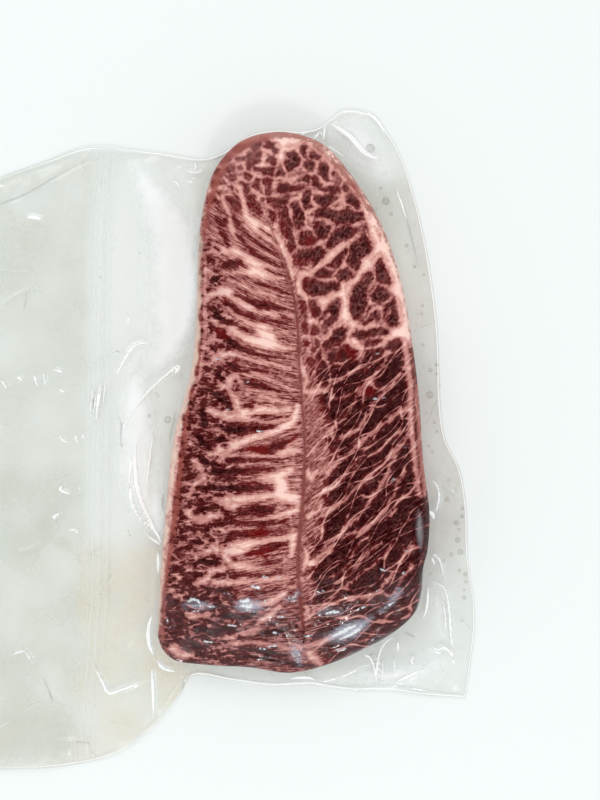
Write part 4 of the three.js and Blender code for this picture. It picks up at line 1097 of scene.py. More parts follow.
# %% Strokes on the tight film
# Each glint raises a small dent that can mirror the window, and is also painted white there as a painted
# highlight.
GLINTS = [
    [(-28.4, 16.2, 0.4), (-26.6, 16.4, 0.4)],
    [(-18.2, 8, 0.3), (-16.8, 8, 0.3)],
    [(-24.4, -2, 0.3), (-23.2, -2, 0.3)],
    [(-13.6, -9.8, 0.4), (-11.4, -9.8, 0.4)],
    [(31.4, 21, 0.3), (32.6, 21.2, 0.3)],
    [(29.4, 18.6, 0.3), (30.6, 18.4, 0.3)],
    [(29, 2, 0.4), (30.4, 2.2, 0.4)],
    [(31.8, 2.5, 0.3), (33, 2.2, 0.3)],
    [(39.6, -16, 0.3), (40.6, -15.8, 0.3)],
    [(35.6, -27.5, 0.4), (36.6, -27.5, 0.4)],
    [(40.4, -53, 0.4), (41.6, -53.2, 0.4)],
    [(31, -59.8, 0.3), (33, -60.3, 0.4), (34, -60, 0.3)],
    [(39.4, -61.5, 0.4), (40.8, -61.2, 0.4)],
    [(-11.4, -62.4, 0.4), (-9.4, -62.8, 0.5)],
    [(-6, -63, 0.4), (-4, -62.6, 0.4)],
    [(-15.6, -66, 0.5), (-13, -66.6, 0.7)],
    [(-38.6, -71.6, 0.5), (-36.4, -70.8, 0.7), (-34.4, -72, 0.5), (-34, -73.6, 0.4)],
    [(-36.8, -75.2, 0.4), (-34.8, -75.2, 0.5)],
    [(-31, -73.6, 0.5), (-29.4, -73.4, 0.6)],
    [(-19.8, -71.6, 0.5), (-17, -71.4, 0.8), (-14.8, -71.8, 0.4)],
    [(-19.4, -73.4, 0.6), (-17, -73.2, 0.9), (-15, -73.4, 0.5)],
    [(-18.6, -75, 0.4), (-16, -74.8, 0.6)],
    [(-10.6, -70.6, 0.3), (-10.2, -73.4, 0.4)],
    [(-2, -70.4, 0.4), (0.4, -69.8, 0.5), (1, -68.4, 0.3)],
    [(-6, -77, 0.3), (-4, -77.4, 0.4)],
    [(-7.6, -83, 0.4), (-5, -83.4, 0.4)],
    [(-9.4, -88, 0.4), (-6.4, -87.6, 0.4)],
    [(-12.6, -88.6, 0.3), (-10.6, -88.8, 0.4)],
    [(-1, -89.6, 0.3), (0.6, -92.4, 0.4)],
    [(1.2, -89.2, 0.3), (2.4, -92.2, 0.4)],
    [(11.6, -76, 0.4), (14.6, -75.4, 0.7), (16.6, -75.8, 0.3)],
    [(3.6, -84.4, 0.4), (6.6, -83.6, 0.4)],
    [(13.6, -84.4, 0.4), (18, -82.4, 0.9), (22, -80.4, 0.6)],
    [(17, -85.2, 0.4), (21, -83.4, 0.8), (25, -80.8, 0.5)],
    [(15, -89.6, 0.4), (19, -88.6, 0.5)],
    [(-44, -60, 0.3), (-43.4, -63, 0.4)],
    [(-46, -78, 0.4), (-45, -81, 0.4)],
    [(22, -75, 0.4), (26, -73.4, 0.4)],
    [(33, -74, 0.3), (37, -71.4, 0.4)],
    [(-24, -80, 0.3), (-21, -80.6, 0.4)],
    [(-33, -86, 0.3), (-30, -86.4, 0.4)],
    [(-42.6, -92, 0.3), (-40.6, -93.6, 0.4)],
    [(27, -86.6, 0.3), (31, -84, 0.4)],
    [(8, -68.4, 0.3), (11, -67.6, 0.3)],
    [(-25.6, -68.6, 0.3), (-23, -68.8, 0.3)],
]
# Painted reflections of the window: whitish-lilac patches laid into the tight film's colour.
PAINTED_GLOWS = [
    [(13, -85, 1.5), (18, -83, 3), (24, -80.4, 2.6), (28.6, -77.4, 1)],
    [(-39, -73, 1.4), (-35, -73, 2.4), (-30, -73.4, 1)],
    [(-20.6, -73, 1), (-17, -73, 2.4), (-12, -73, 1)],
    [(9, -76, 0.6), (13, -75.6, 1.6), (18, -76, 0.6)],
    [(31, -76, 0.6), (35, -72.4, 1.4), (38, -68, 0.6)],
    [(-3, -71, 0.6), (0, -70.4, 1), (1.6, -68, 0.4)],
    [(0, -88, 0.5), (1, -91, 1.2), (2, -94, 0.5)],
]
FOLDS_ON_MEAT = [
    [(44.6, -36, -0.4), (45.4, -42, 0.7), (45.8, -48, 0.8), (46, -54, -0.4)],
    [(36, -83.6, 0.3), (28, -88, 0.5), (20, -91.6, 0.4)],
    [(44.6, -76, 0.3), (46.4, -70, 0.5), (47, -62, 0.4)],
    [(-12, -99, 0.3), (-30, -96.6, 0.4), (-44, -94.6, 0.4)],
    [(-49.6, -88, 0.3), (-48.6, -92.4, 0.5), (-45, -95, 0.4)],
]
print(len(GLINTS), "glints,", len(PAINTED_GLOWS), "glows and", len(FOLDS_ON_MEAT), "folds over the meat")

# %% [markdown]
# ## The shape of the tight film
#
# The same formulas that shape the steak's top and side shape the film, a little further out. Dimples and
# glints are added to its height afterwards.

# %% Film over the meat
FILM_TOP_SHARES = np.linspace(0, 1, 61)
FILM_TURNS = np.linspace(1, -0.06, 13)[1:]
film_rows = [top_of(edge_of_top, column_seam, part) + [0, 0, GAP] for part in FILM_TOP_SHARES]
for part in FILM_TURNS:
    raised = [0, 0, GAP * np.sin(max(part, 0) * np.pi / 2)]
    film_rows.append(side_of(column_at, column_out, part, GAP) + raised)
meat_film_grid = np.stack(film_rows)
film_seen = seen_on_top(meat_film_grid.reshape(-1, 3)).reshape(*meat_film_grid.shape[:2], 2)
u, v = film_seen[..., 0], film_seen[..., 1]
pucker = lerp(0.12, 0.5, eased(-v, 52, 84))
pucker = np.maximum(pucker, 0.2 * eased(v, 80, 96))
glint, painted_glow, fold = (
    field_of(strokes, film_seen.reshape(-1, 2), OUTSIDE_CREASE) for strokes in (GLINTS, PAINTED_GLOWS, FOLDS_ON_MEAT)
)
bumps = 0.5 * soft_noise(u, v, 9, 21) + 0.16 * soft_noise(u, v, 4, 22)
DEEPEST_DENT, GLINT_HEIGHT = -0.15, 0.5
glint_rise = GLINT_HEIGHT * eased(glint, -0.9, 0.8).reshape(u.shape)
meat_film_grid[..., 2] += np.maximum(pucker * bumps, DEEPEST_DENT) + glint_rise
print("the tight film puckers by up to", (pucker * bumps).max().round(2), "mm")


# %% [markdown]
# ## From grid to mesh
#
# A grid of rows and columns becomes quads by joining each place to its right and lower neighbours.
# The first and last rows lie along the seam, where the columns of the two sides meet in pairs,
# so those pairs share one vertex and the skin is closed.


# %% Build meshes from grids
def wrapped_quads(row_count, column_count):
    """Quads of a grid whose last column joins its first, as indices into the flattened grid."""
    r, c = np.meshgrid(np.arange(row_count - 1), np.arange(column_count), indexing="ij")
    n = (c + 1) % column_count
    here, below = r * column_count, (r + 1) * column_count
    return np.stack([here + c, below + c, below + n, here + n], axis=-1).reshape(-1, 4)


def piece_from(name, points, quads, fields=None):
    """One smooth-shaded piece on the root body. A corner that equals the next one is left out, so a folded
    quad becomes a triangle, and vertices without a face go. Fields become attributes of the vertices."""
    kept = quads != np.roll(quads, -1, axis=1)
    real = kept.sum(axis=1) > 2
    corner_counts = kept[real].sum(axis=1)
    corners = quads[real][kept[real]]
    used = np.zeros(len(points), bool)
    used[corners] = True
    new_number = np.cumsum(used) - 1
    mesh = bpy.data.meshes.new(name)
    mesh.vertices.add(int(used.sum()))
    mesh.vertices.foreach_set("co", (points[used] * MM).astype(np.float32).ravel())
    mesh.loops.add(len(corners))
    mesh.loops.foreach_set("vertex_index", new_number[corners].astype(np.int32))
    mesh.polygons.add(len(corner_counts))
    mesh.polygons.foreach_set("loop_start", (np.cumsum(corner_counts) - corner_counts).astype(np.int32))
    mesh.polygons.foreach_set("use_smooth", np.ones(len(corner_counts), bool))
    for title, values in (fields or {}).items():
        kind, slot = ("FLOAT", "value") if values.ndim == 1 else ("FLOAT_VECTOR", "vector")
        layer = mesh.attributes.new(title, kind, "POINT")
        layer.data.foreach_set(slot, values[used].astype(np.float32).ravel())
    mesh.update(calc_edges=True)
    piece = bpy.data.objects.new(name, mesh)
    bpy.context.scene.collection.objects.link(piece)
    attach(piece, "root")
    print(name, "has", int((corner_counts - 2).sum()), "triangles")
    return piece


# %% [markdown]
# ## The steak as a piece
#
# The skin carries every field as an attribute of its vertices, and the material reads them by name.

# %% The steak's skin
steak_points = flat + np.array([*STEAK_PLACE, 0])
steak_quads = wrapped_quads(*steak_grid.shape[:2])
join = np.arange(len(flat))
join[:STEAK_COLUMNS] = paired
last_row = len(flat) - STEAK_COLUMNS
join[last_row:] = last_row + paired
steak = piece_from(
    "marbled_steak",
    steak_points,
    join[steak_quads],
    {
        "fat": fat,
        "fibre": fibre,
        "net": net_place,
        "pattern": pattern,
        "membrane": membrane,
        "cream": cream,
        "redness": redness,
        "seam": seam_mark,
        "deep": deep,
        "cells": cells_share,
    },
)
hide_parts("steak")

# %% [markdown]
# ## The films as pieces
#
# The loose films close under the meat: their innermost row runs to one vertex in the middle. The film over
# the meat is a piece of its own, because its finish differs and it ends under the meat's widest line.

# %% The pouch's pieces
def padded(values, rows, fill=OUTSIDE_SHEEN):
    """The same field with rows added for the lower film, where it has nothing to say."""
    return np.concatenate([values, np.full((rows, values.shape[1]), fill)]).ravel()


OFF_WELD = 40.0
pouch_points = np.vstack([pouch_grid.reshape(-1, 3), [[*STEAK_PLACE, LOWER_HEIGHT]]])
pouch_faces = wrapped_quads(*pouch_grid.shape[:2])
columns = pouch_grid.shape[1]
last = (pouch_grid.shape[0] - 1) * columns + np.arange(columns)
pole = np.full(columns, len(pouch_points) - 1)
fan = np.stack([last, pole, pole, np.roll(last, -1)], axis=1)
lower_rows = pouch_grid.shape[0] - upper_film.shape[0]
weld = np.stack([padded(weld_across, lower_rows, OFF_WELD), padded(weld_depth, lower_rows)], axis=1)
lines = np.stack([padded(field, lower_rows) for field in creases], axis=1)
veils = np.stack([padded(field, lower_rows, 0.0) for field in (veil, warm, pink)], axis=1)
rims = np.stack([padded(field, lower_rows) for field in (edge_line, sheen, juice)], axis=1)
one_more = np.full((1, 3), OUTSIDE_SHEEN)
pouch = piece_from(
    "pouch_films",
    pouch_points,
    np.vstack([pouch_faces, fan]),
    {
        "lines": np.vstack([lines, one_more]),
        "weld": np.vstack([np.column_stack([weld, np.zeros(len(weld))]), one_more]),
        "rims": np.vstack([rims, one_more]),
        "veil": np.vstack([veils, 0 * one_more]),
    },
)
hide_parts("vacuum_pouch")

meat_film = piece_from(
    "film_over_meat",
    meat_film_grid.reshape(-1, 3) + [*STEAK_PLACE, 0],
    wrapped_quads(*meat_film_grid.shape[:2]),
    {"glint": glint, "painted_glow": painted_glow, "fold": fold, "pucker": pucker.ravel()},
)

# %% [markdown]
# ## Drops between the films
#
# Squeezed-out juice stands in small flat drops where the films touch loosely. Each is a low ball on the
# film, copied by adding its centre to the same few points, so forty drops are still one mesh.

# %% Drops between the films
DROPS = [
    (85, 26.5, 1.0), (87.5, 28.5, 0.8), (87.5, 25, 0.6), (88.7, 20.5, 0.5), (84.5, 17, 1.6),
    (83, 10, 0.6), (86.5, 6.5, 0.8), (87.5, 3, 0.6), (84, -2.5, 0.6), (85.5, -4.5, 0.7), (92, -15.5, 0.8),
    (91.5, -23, 1.1), (97.5, -26.5, 0.7), (97.3, -29.5, 0.8), (82, 51, 0.6), (81.5, 48, 0.8),
    (82, 36, 0.7), (82.6, 63, 0.6), (95, -32, 1.1), (96, -34.5, 0.6), (95.5, -38.5, 1.2),
    (96.5, -43, 1.3), (93, -44, 0.9), (90, -46.5, 0.8), (96, -50, 0.8), (98.4, -51.5, 0.9),
    (98.6, -54.5, 0.8), (98, -57.5, 0.6), (98, -60.5, 0.9), (97, -69, 0.7), (62, 111, 2.0), (68, 91, 1.7),
    (70, 86, 0.8), (66, 96, 0.7), (76, 74, 0.8), (79, 66, 0.7), (-26, 71, 0.5), (-15, 7.5, 1.6),
    (-41, 62, 0.5), (-22, 9, 0.8),
]
drops = np.array(DROPS)
nearest = np.argmin(np.hypot(*(xy[None] - drops[:, None, :2]).transpose(2, 0, 1)), axis=1)
film_height = upper_z.ravel()[nearest]
BALL_ROWS, BALL_COLUMNS, DROP_FLATNESS, DROP_SCALE, DROP_LIFT = 7, 14, 0.4, 0.85, 0.1
up_the_ball = np.linspace(-np.pi / 2, np.pi / 2, BALL_ROWS)
round_the_ball = np.linspace(0, 2 * np.pi, BALL_COLUMNS, endpoint=False)
rise, turn = np.meshgrid(up_the_ball, round_the_ball, indexing="ij")
level = np.cos(rise)
ball = np.stack([level * np.cos(turn), level * np.sin(turn), -DROP_FLATNESS * np.sin(rise)], axis=2)
ball = ball.reshape(-1, 3)
to_pole = np.arange(len(ball))
to_pole[:BALL_COLUMNS] = 0
to_pole[-BALL_COLUMNS:] = len(ball) - 1
ball_faces = to_pole[wrapped_quads(BALL_ROWS, BALL_COLUMNS)]
centres = np.column_stack([drops[:, :2], film_height + DROP_LIFT])
drop_points = centres[:, None] + DROP_SCALE * drops[:, 2, None, None] * ball
drop_faces = ball_faces[None] + len(ball) * np.arange(len(drops))[:, None, None]
juice_drops = piece_from("juice_drops", drop_points.reshape(-1, 3), drop_faces.reshape(-1, 4))

# %% [markdown]
# ## The material of the meat
#
# Raw beef under film is dark and wet. The colour is a mix of three: fat, lean and a brownish membrane at
# the rim. The fat's edge comes from the smooth field plus noise that is stretched along the fibres, so it
# frays as real marbling does. A small helper keeps the nodes readable.


# %% A helper to place and join nodes
class Nodes:
    """Places shader nodes in a tree."""

    def __init__(self, tree):
        self.tree = tree

    def add(self, kind, inputs=None, **settings):
        """A new node. An input that is a socket is joined, and any other value is set."""
        node = self.tree.nodes.new("ShaderNode" + kind)
        for key, value in settings.items():
            setattr(node, key, value)
        for key, value in (inputs or {}).items():
            if isinstance(value, bpy.types.NodeSocket):
                self.tree.links.new(value, node.inputs[key])
            else:
                node.inputs[key].default_value = value
        return node

    def sum(self, kind, a, b=0.0, c=0.0, clamp=False):
        """One step of arithmetic."""
        return self.add("Math", {0: a, 1: b, 2: c}, operation=kind, use_clamp=clamp).outputs[0]

    def ease(self, value, low, high, to_low=0.0, to_high=1.0):
        """The value's way from low to high, with soft ends, as a way between two other numbers."""
        inputs = {"Value": value, "From Min": low, "From Max": high, "To Min": to_low, "To Max": to_high}
        return self.add("MapRange", inputs, interpolation_type="SMOOTHSTEP").outputs["Result"]

    def blend(self, share, a, b):
        """Colour a, or colour b where the share is 1."""
        return self.add("Mix", {0: share, 6: a, 7: b}, data_type="RGBA", clamp_factor=True).outputs[2]

    def shift(self, noise, amount, onto):
        """The noise about its middle, times an amount, added to a value."""
        return self.sum("MULTIPLY_ADD", self.sum("SUBTRACT", noise, 0.5), amount, onto)

    def stretch(self, vector, x, y, z=1.0):
        """Coordinates times three numbers, so that a pattern is finer along the larger ones."""
        return self.add("VectorMath", {0: vector, 1: (x, y, z)}, operation="MULTIPLY").outputs[0]

    def noise(self, vector, scale=1.0, detail=2.0, roughness=0.5, distortion=0.0):
        """Soft random values between 0 and 1."""
        inputs = {"Vector": vector, "Scale": scale, "Detail": detail, "Roughness": roughness}
        return self.add("TexNoise", {**inputs, "Distortion": distortion}).outputs["Fac"]

    def cell_edge(self, vector, bend_scale, bend_size, cell_scale):
        """How far a place is from the edge between random cells, in coordinates that noise has bent."""
        bend = self.add("TexNoise", {"Vector": vector, "Scale": bend_scale, "Detail": 2.0}).outputs["Color"]
        inputs = {0: bend, 1: (bend_size, bend_size, 0.0), 2: vector}
        bent = self.add("VectorMath", inputs, operation="MULTIPLY_ADD").outputs[0]
        cells = self.add("TexVoronoi", {"Vector": bent, "Scale": cell_scale}, feature="DISTANCE_TO_EDGE")
        return cells.outputs["Distance"]

    def field(self, title, output="Fac"):
        """A number that the mesh carries."""
        return self.add("Attribute", attribute_name=title).outputs[output]

    def group(self, tree, inputs):
        """The outputs of a shared group that is placed in this tree."""
        return self.add("Group", inputs, node_tree=tree).outputs

    def parts(self, vector):
        """The three numbers of a vector."""
        return self.add("SeparateXYZ", {0: vector}).outputs


def colour(red, green, blue):
    """A colour given as a screen shows it, from 0 to 255, turned into light: ((c + 0.055) / 1.055)^2.4."""
    c = np.array([red, green, blue]) / 255
    return (*np.where(c > 0.04045, ((c + 0.055) / 1.055) ** 2.4, c / 12.92), 1.0)


def new_finish(title):
    """An empty material, and a helper that places its nodes."""
    finish = bpy.data.materials.new(title)
    finish.use_nodes = True
    finish.node_tree.nodes.clear()
    return finish, Nodes(finish.node_tree)


# %% [markdown]
# ## How the fat frays
#
# Marbling has no smooth edges. Five noises of different size are added to the field of fat before it is cut,
# and three of them are stretched along the fibres. The masks choose which of them counts where.

# %% The frayed edge of the fat
LEAN_DARK = colour(40, 3, 5)
LEAN_MID = colour(104, 27, 28)
LEAN_RED = colour(122, 14, 12)
VEIN_PINK = colour(164, 100, 97)
FAT_PINK = colour(218, 158, 149)
FAT_PALE = colour(252, 213, 203)
MEMBRANE_BROWN = colour(152, 78, 70)
SEAM_BROWN = colour(142, 70, 66)
RIM_CREAM = colour(238, 214, 198)

meat, n = new_finish("wet_raw_beef")
place = n.add("TexCoord").outputs["Object"]
along_fibre = n.field("fibre", "Vector")
along_net = n.field("net", "Vector")
blotch_share, streak_share, net_share = n.parts(n.field("pattern", "Vector"))

blotch = n.noise(n.stretch(place, 300.0, 420.0, 300.0), detail=4.0, roughness=0.62)
broad = n.noise(n.stretch(along_fibre, 0.06, 0.34), detail=2.0)
streak = n.noise(n.stretch(along_fibre, 0.13, 1.0), detail=3.0, roughness=0.6)
hair = n.noise(n.stretch(along_fibre, 0.3, 2.4), detail=3.0, roughness=0.65)
grain = n.noise(place, 900.0, 3.0, 0.6)

frayed = n.shift(blotch, n.sum("MULTIPLY", blotch_share, 6.0), n.field("fat"))
frayed = n.shift(broad, n.sum("MULTIPLY", streak_share, 1.6), frayed)
frayed = n.shift(streak, n.sum("MULTIPLY", streak_share, 3.6), frayed)
frayed = n.shift(hair, n.sum("MULTIPLY_ADD", streak_share, 3.6, 1.0), frayed)
frayed = n.shift(grain, n.sum("MULTIPLY_ADD", n.field("cells"), 0.6, 1.8), frayed)
print("the fat's edge takes", len(meat.node_tree.nodes), "nodes")


# %% [markdown]
# ## Thin veins and lace
#
# Veins too thin and too many to lay by hand are drawn by the material. Turned, evenly spaced lines that
# wander make the slanted veins, and the edges between random cells make a lace of fat.

# %% Thin veins and lace
def net_of(vector, warp, width):
    """A net of lines: 1 on the edges between random cells, and 0 inside them."""
    return n.ease(n.cell_edge(vector, 0.9, warp, 1.0), width, 0.0)


def ribs_of(turn, per_mm, wander, width):
    """Evenly spaced lines along a turned direction: 1 where distance across them, counted in spacings and
    shifted by noise, is a whole number, and 0 between the lines."""
    turned = n.add("VectorRotate", {"Vector": along_net, "Angle": turn}).outputs[0]
    across = n.parts(turned)[1]
    drift = n.noise(n.stretch(turned, 0.25 * per_mm, 0.5 * per_mm), 1.0, 1.0, 0.5)
    count = n.sum("MULTIPLY_ADD", across, per_mm, n.sum("MULTIPLY", drift, wander))
    return n.ease(n.sum("PINGPONG", count, 0.5), width, 0.0)


long_ribs = n.sum("MAXIMUM", ribs_of(0.2, 0.2, 2.8, 0.1), ribs_of(-0.2, 0.17, 2.8, 0.09))
long_ribs = n.sum("MULTIPLY", long_ribs, n.ease(blotch, 0.3, 0.62, 1.0, 2.6))
fine_ribs = n.sum("MAXIMUM", ribs_of(0.4, 0.4, 3.2, 0.13), ribs_of(-0.3, 0.45, 3.2, 0.13))
fine_ribs = n.sum("MULTIPLY", fine_ribs, n.ease(blotch, 0.4, 0.62, 0.0, 1.5))
frayed = n.sum("MULTIPLY_ADD", n.sum("MAXIMUM", long_ribs, fine_ribs), net_share, frayed)
lace = net_of(n.stretch(place, 170.0, 400.0, 170.0), 1.1, 0.12)
lace = n.sum("MULTIPLY", lace, n.ease(blotch, 0.35, 0.65, 0.2, 1.3))
frayed = n.sum("MULTIPLY_ADD", lace, blotch_share, frayed)
twigs = net_of(n.stretch(place, 260.0, 380.0, 260.0), 1.4, 0.08)
twigs = n.sum("MULTIPLY", twigs, n.ease(blotch, 0.4, 0.6, 0.05, 0.55))
print("with its veins and lace,", len(meat.node_tree.nodes), "nodes")

# %% [markdown]
# ## The colours of the meat
#
# Lean turns from mid red to nearly black away from the fat, with pale hatching along the fibres. Fat goes
# from the pink of a vein to pale where it is thick. Membrane, cream fat and the seam are blended over both.

# %% Colours of the meat
tone = n.sum("MULTIPLY_ADD", n.ease(frayed, -0.4, -2.4), 0.6, n.sum("MULTIPLY", n.field("deep"), 0.6))
tone = n.sum("MAXIMUM", n.shift(blotch, 1.2, tone), 0.0, clamp=True)
lean = n.blend(tone, LEAN_MID, LEAN_DARK)
hatch_share = n.sum("MULTIPLY_ADD", n.field("deep"), -0.12, 0.3)
hatch_share = n.sum("MULTIPLY_ADD", n.field("cells"), 0.34, hatch_share)
hatch = n.ease(n.shift(grain, 0.5, hair), 0.48, 0.68, 0.0, hatch_share)
lean = n.blend(hatch, lean, VEIN_PINK)
twigs = n.sum("MULTIPLY", twigs, n.ease(n.field("cells"), 0.0, 1.0, 0.35, 1.0))
lean = n.blend(twigs, lean, VEIN_PINK)
lean = n.blend(n.sum("MULTIPLY", n.ease(n.field("redness"), -1.5, 1.0), 0.5), lean, LEAN_RED)
base = n.blend(n.ease(frayed, -0.5, 0.15), lean, VEIN_PINK)
dim = n.sum("MULTIPLY", n.field("deep"), n.sum("SUBTRACT", 1.0, n.field("cells")))
soft_fat = n.blend(n.sum("MULTIPLY", dim, 0.55), FAT_PINK, VEIN_PINK)
base = n.blend(n.ease(frayed, 0.0, 1.0), base, soft_fat)
pale = n.ease(n.shift(blotch, 2.0, frayed), 1.0, 3.0, 0.0, n.sum("MULTIPLY_ADD", dim, -0.5, 1.0))
base = n.blend(pale, base, FAT_PALE)
rim = n.ease(n.shift(grain, 3.0, n.shift(blotch, 3.6, n.field("membrane"))), -0.5, 0.6)
base = n.blend(n.sum("MULTIPLY", rim, 0.82), base, MEMBRANE_BROWN)
base = n.blend(n.ease(n.shift(blotch, 1.5, n.field("cream")), -0.4, 0.8, 0.0, 0.6), base, RIM_CREAM)
near_seam = n.shift(blotch, 2.0, n.field("seam"))
base = n.blend(n.ease(near_seam, 1.3, 0.5, 0.0, 0.75), base, SEAM_BROWN)

bump = n.add("Bump", {"Strength": 0.3, "Distance": 0.0003, "Height": n.ease(frayed, -0.5, 0.8)})
skin = n.add(
    "BsdfPrincipled",
    {"Base Color": base, "Normal": bump.outputs[0], "Roughness": 0.5, "Specular IOR Level": 0.0},
)
n.add("OutputMaterial", {"Surface": skin.outputs[0]})
steak.data.materials.append(meat)
print("the whole finish of the meat takes", len(meat.node_tree.nodes), "nodes")

# %% [markdown]
# ## The material of the film
#
# Real film is two or three reflections and almost no colour. A mix of a clear and a glossy shader gives it
# the gloss, stronger where it is seen at a slant. A third shader stands for everything milky: creases, which
# are painted white as painted highlights or grey as painted shade, painted sheen, the weld's fine ribs and
# the brownish juice, and on the tight film painted reflections of the window. Both films share one group
# that gives the fine dimples.


# %% A group of fine dimples
def new_group(title, inputs, outputs):
    """A shader node group with the given sockets, its helper, and its inputs and outputs by name."""
    tree = bpy.data.node_groups.new(title, "ShaderNodeTree")
    for direction, sockets in (("INPUT", inputs), ("OUTPUT", outputs)):
        for socket, kind in sockets.items():
            tree.interface.new_socket(socket, in_out=direction, socket_type="NodeSocket" + kind)
    group_in, group_out = tree.nodes.new("NodeGroupInput"), tree.nodes.new("NodeGroupOutput")
    return tree, Nodes(tree), group_in.outputs, group_out.inputs


dimples, g, given, give = new_group(
    "film_dimples", {"Place": "Vector", "Amount": "Float"}, {"Height": "Float"}
)
small = g.noise(given["Place"], 420.0, 2.0, 0.5)
broad_dent = g.noise(given["Place"], 150.0, 2.0, 0.5, 0.6)
dents = g.sum("MULTIPLY_ADD", broad_dent, 2.0, small)
dimples.links.new(g.sum("MULTIPLY", dents, given["Amount"]), give["Height"])
print("the group of dimples has", len(dimples.nodes), "nodes")

# %% [markdown]
# ## One shader for both films
#
# Both films are made of the same three shaders and differ only in how much gloss and milk they take, so a
# function builds the nodes for either.

# %% The shader of both films
CLEAR_TINT = (0.996, 0.994, 0.988, 1)


def film_shader(helper, height, haze, haze_colour, head_on, slant):
    """Clear film: a clear shader that turns glossy at a slant, and a milky one where haze is above 0."""
    bump = helper.add("Bump", {"Strength": 1.0, "Distance": 0.0003, "Height": height}).outputs[0]
    clear = helper.add("BsdfTransparent", {"Color": CLEAR_TINT}).outputs[0]
    gloss = helper.add("BsdfGlossy", {"Color": (1, 1, 1, 1), "Roughness": 0.07, "Normal": bump}).outputs[0]
    inputs = {"Base Color": haze_colour, "Roughness": 0.3, "Specular IOR Level": 0.4, "Normal": bump}
    milky = helper.add("BsdfPrincipled", inputs).outputs[0]
    facing_away = helper.add("LayerWeight", {"Blend": slant}).outputs["Facing"]
    film = helper.add("MixShader", {0: facing_away, 1: clear, 2: gloss}).outputs[0]
    film = helper.add("MixShader", {0: head_on, 1: film, 2: gloss}).outputs[0]
    film = helper.add("MixShader", {0: haze, 1: film, 2: milky}).outputs[0]
    helper.add("OutputMaterial", {"Surface": film})


print("clear film lets through", CLEAR_TINT[0], "of red light")


# %% [markdown]
# ## The finish of the loose film
#
# The mesh carries the nearest crease, the sheen, the juice and the weld. Each becomes a mask between 0 and
# 1. Their largest is how milky the film is there, and each gives its own tint: bright creases and sheen are
# painted highlights and painted sheen in white, and dark creases are painted shade in grey.

# %% Creases, sheen and weld as masks
LOOSE_GLOSS, LOOSE_SLANT = 0.02, 0.06
MILKY = colour(246, 250, 249)
HIGHLIGHT_WHITE = colour(255, 255, 255)
# The colour of the painted reflections of the window on the tight film.
PAINTED_GLOW_LILAC = colour(214, 214, 232)
VEIL_GREY = colour(206, 210, 200)
JUICE_BEIGE = colour(228, 212, 182)
JUICE_PINK = colour(206, 186, 180)
VALLEY_SHADE_GREY = colour(128, 130, 122)

clear_film, f = new_finish("clear_pouch_film")
place = f.add("TexCoord").outputs["Object"]
crease_width, crease_side, crease_kind = f.parts(f.field("lines", "Vector"))
edge_depth, sheen_depth, juice_depth = f.parts(f.field("rims", "Vector"))
veil_share, warmth, pinkness = f.parts(f.field("veil", "Vector"))
weld_x, weld_inside, _ = f.parts(f.field("weld", "Vector"))
cloud = f.noise(place, 60.0, 3.0, 0.6)
speck = f.noise(place, 700.0, 2.0, 0.6)

from_line = f.sum("ABSOLUTE", crease_side)
inside_line = f.shift(speck, 0.7, f.sum("SUBTRACT", crease_width, from_line))
line_mask = f.ease(inside_line, -0.15, 0.25)
is_bright = f.sum("GREATER_THAN", crease_kind, 0.0)
# Painted highlight: white on the bright creases, and along the pouch's edge.
ridge_highlight_mask = f.sum("MULTIPLY", line_mask, is_bright)
ridge_highlight_mask = f.sum("MULTIPLY", f.sum("MAXIMUM", ridge_highlight_mask, f.ease(edge_depth, -0.2, 0.4)), 0.95)
# Painted shade: a grey line beside each wide crease, on its far side.
shade_flank = f.sum("SUBTRACT", crease_side, f.sum("ADD", crease_width, 0.3))
shade_flank = f.sum("SUBTRACT", 0.3, f.sum("ABSOLUTE", shade_flank))
shade_flank = f.sum("MULTIPLY", f.ease(shade_flank, -0.1, 0.3), f.ease(crease_width, 0.3, 0.6, 0.0, 0.25))
past_line = f.sum("MAXIMUM", f.sum("SUBTRACT", from_line, FADE_FROM), 0.0)
line_width = f.sum("MULTIPLY_ADD", past_line, FADE, crease_width)
# Painted sheen: a soft white falloff on one side of each bright crease.
slope = f.sum("MULTIPLY", f.ease(crease_side, 2.6, 0.2), f.sum("GREATER_THAN", crease_side, 0.0))
slope = f.sum("MULTIPLY", f.sum("MULTIPLY", slope, is_bright), f.ease(line_width, 0.05, 0.5, 0.0, 0.3))
is_dark = f.sum("SUBTRACT", 1.0, is_bright)
# Painted shade on the dark creases and on the flanks of the bright ones.
valley_shade_mask = f.sum("MULTIPLY_ADD", is_dark, f.sum("MULTIPLY", line_mask, 0.28), shade_flank)
# Painted sheen, with a cloudy edge.
painted_sheen_mask = f.ease(f.shift(cloud, 9.0, sheen_depth), -3.0, 8.0, 0.0, 0.8)
rib_place = f.add("CombineXYZ", {0: f.sum("MULTIPLY", weld_x, 1.5)}).outputs[0]
rib = f.ease(f.noise(rib_place, 1.0, 2.0, 0.7), 0.5, 0.62)
weld_mask = f.ease(weld_inside, -0.2, 0.5)
weld_ribs = f.sum("MULTIPLY", rib, weld_mask)
wrinkles = f.ease(f.cell_edge(place, 30.0, 0.008, 48.0), 0.022, 0.0)
wrinkles = f.sum("MULTIPLY", wrinkles, f.ease(cloud, 0.5, 0.7, 0.0, 0.8))
print("the loose film's masks take", len(clear_film.node_tree.nodes), "nodes")

# %% [markdown]
# ## Tints and milk of the loose film
#
# Grey veil, warm juice, grey valleys as painted shade, and white ridges and sheen as painted highlights are
# blended in turn, each over the one before. The largest mask is the share of the milky shader.

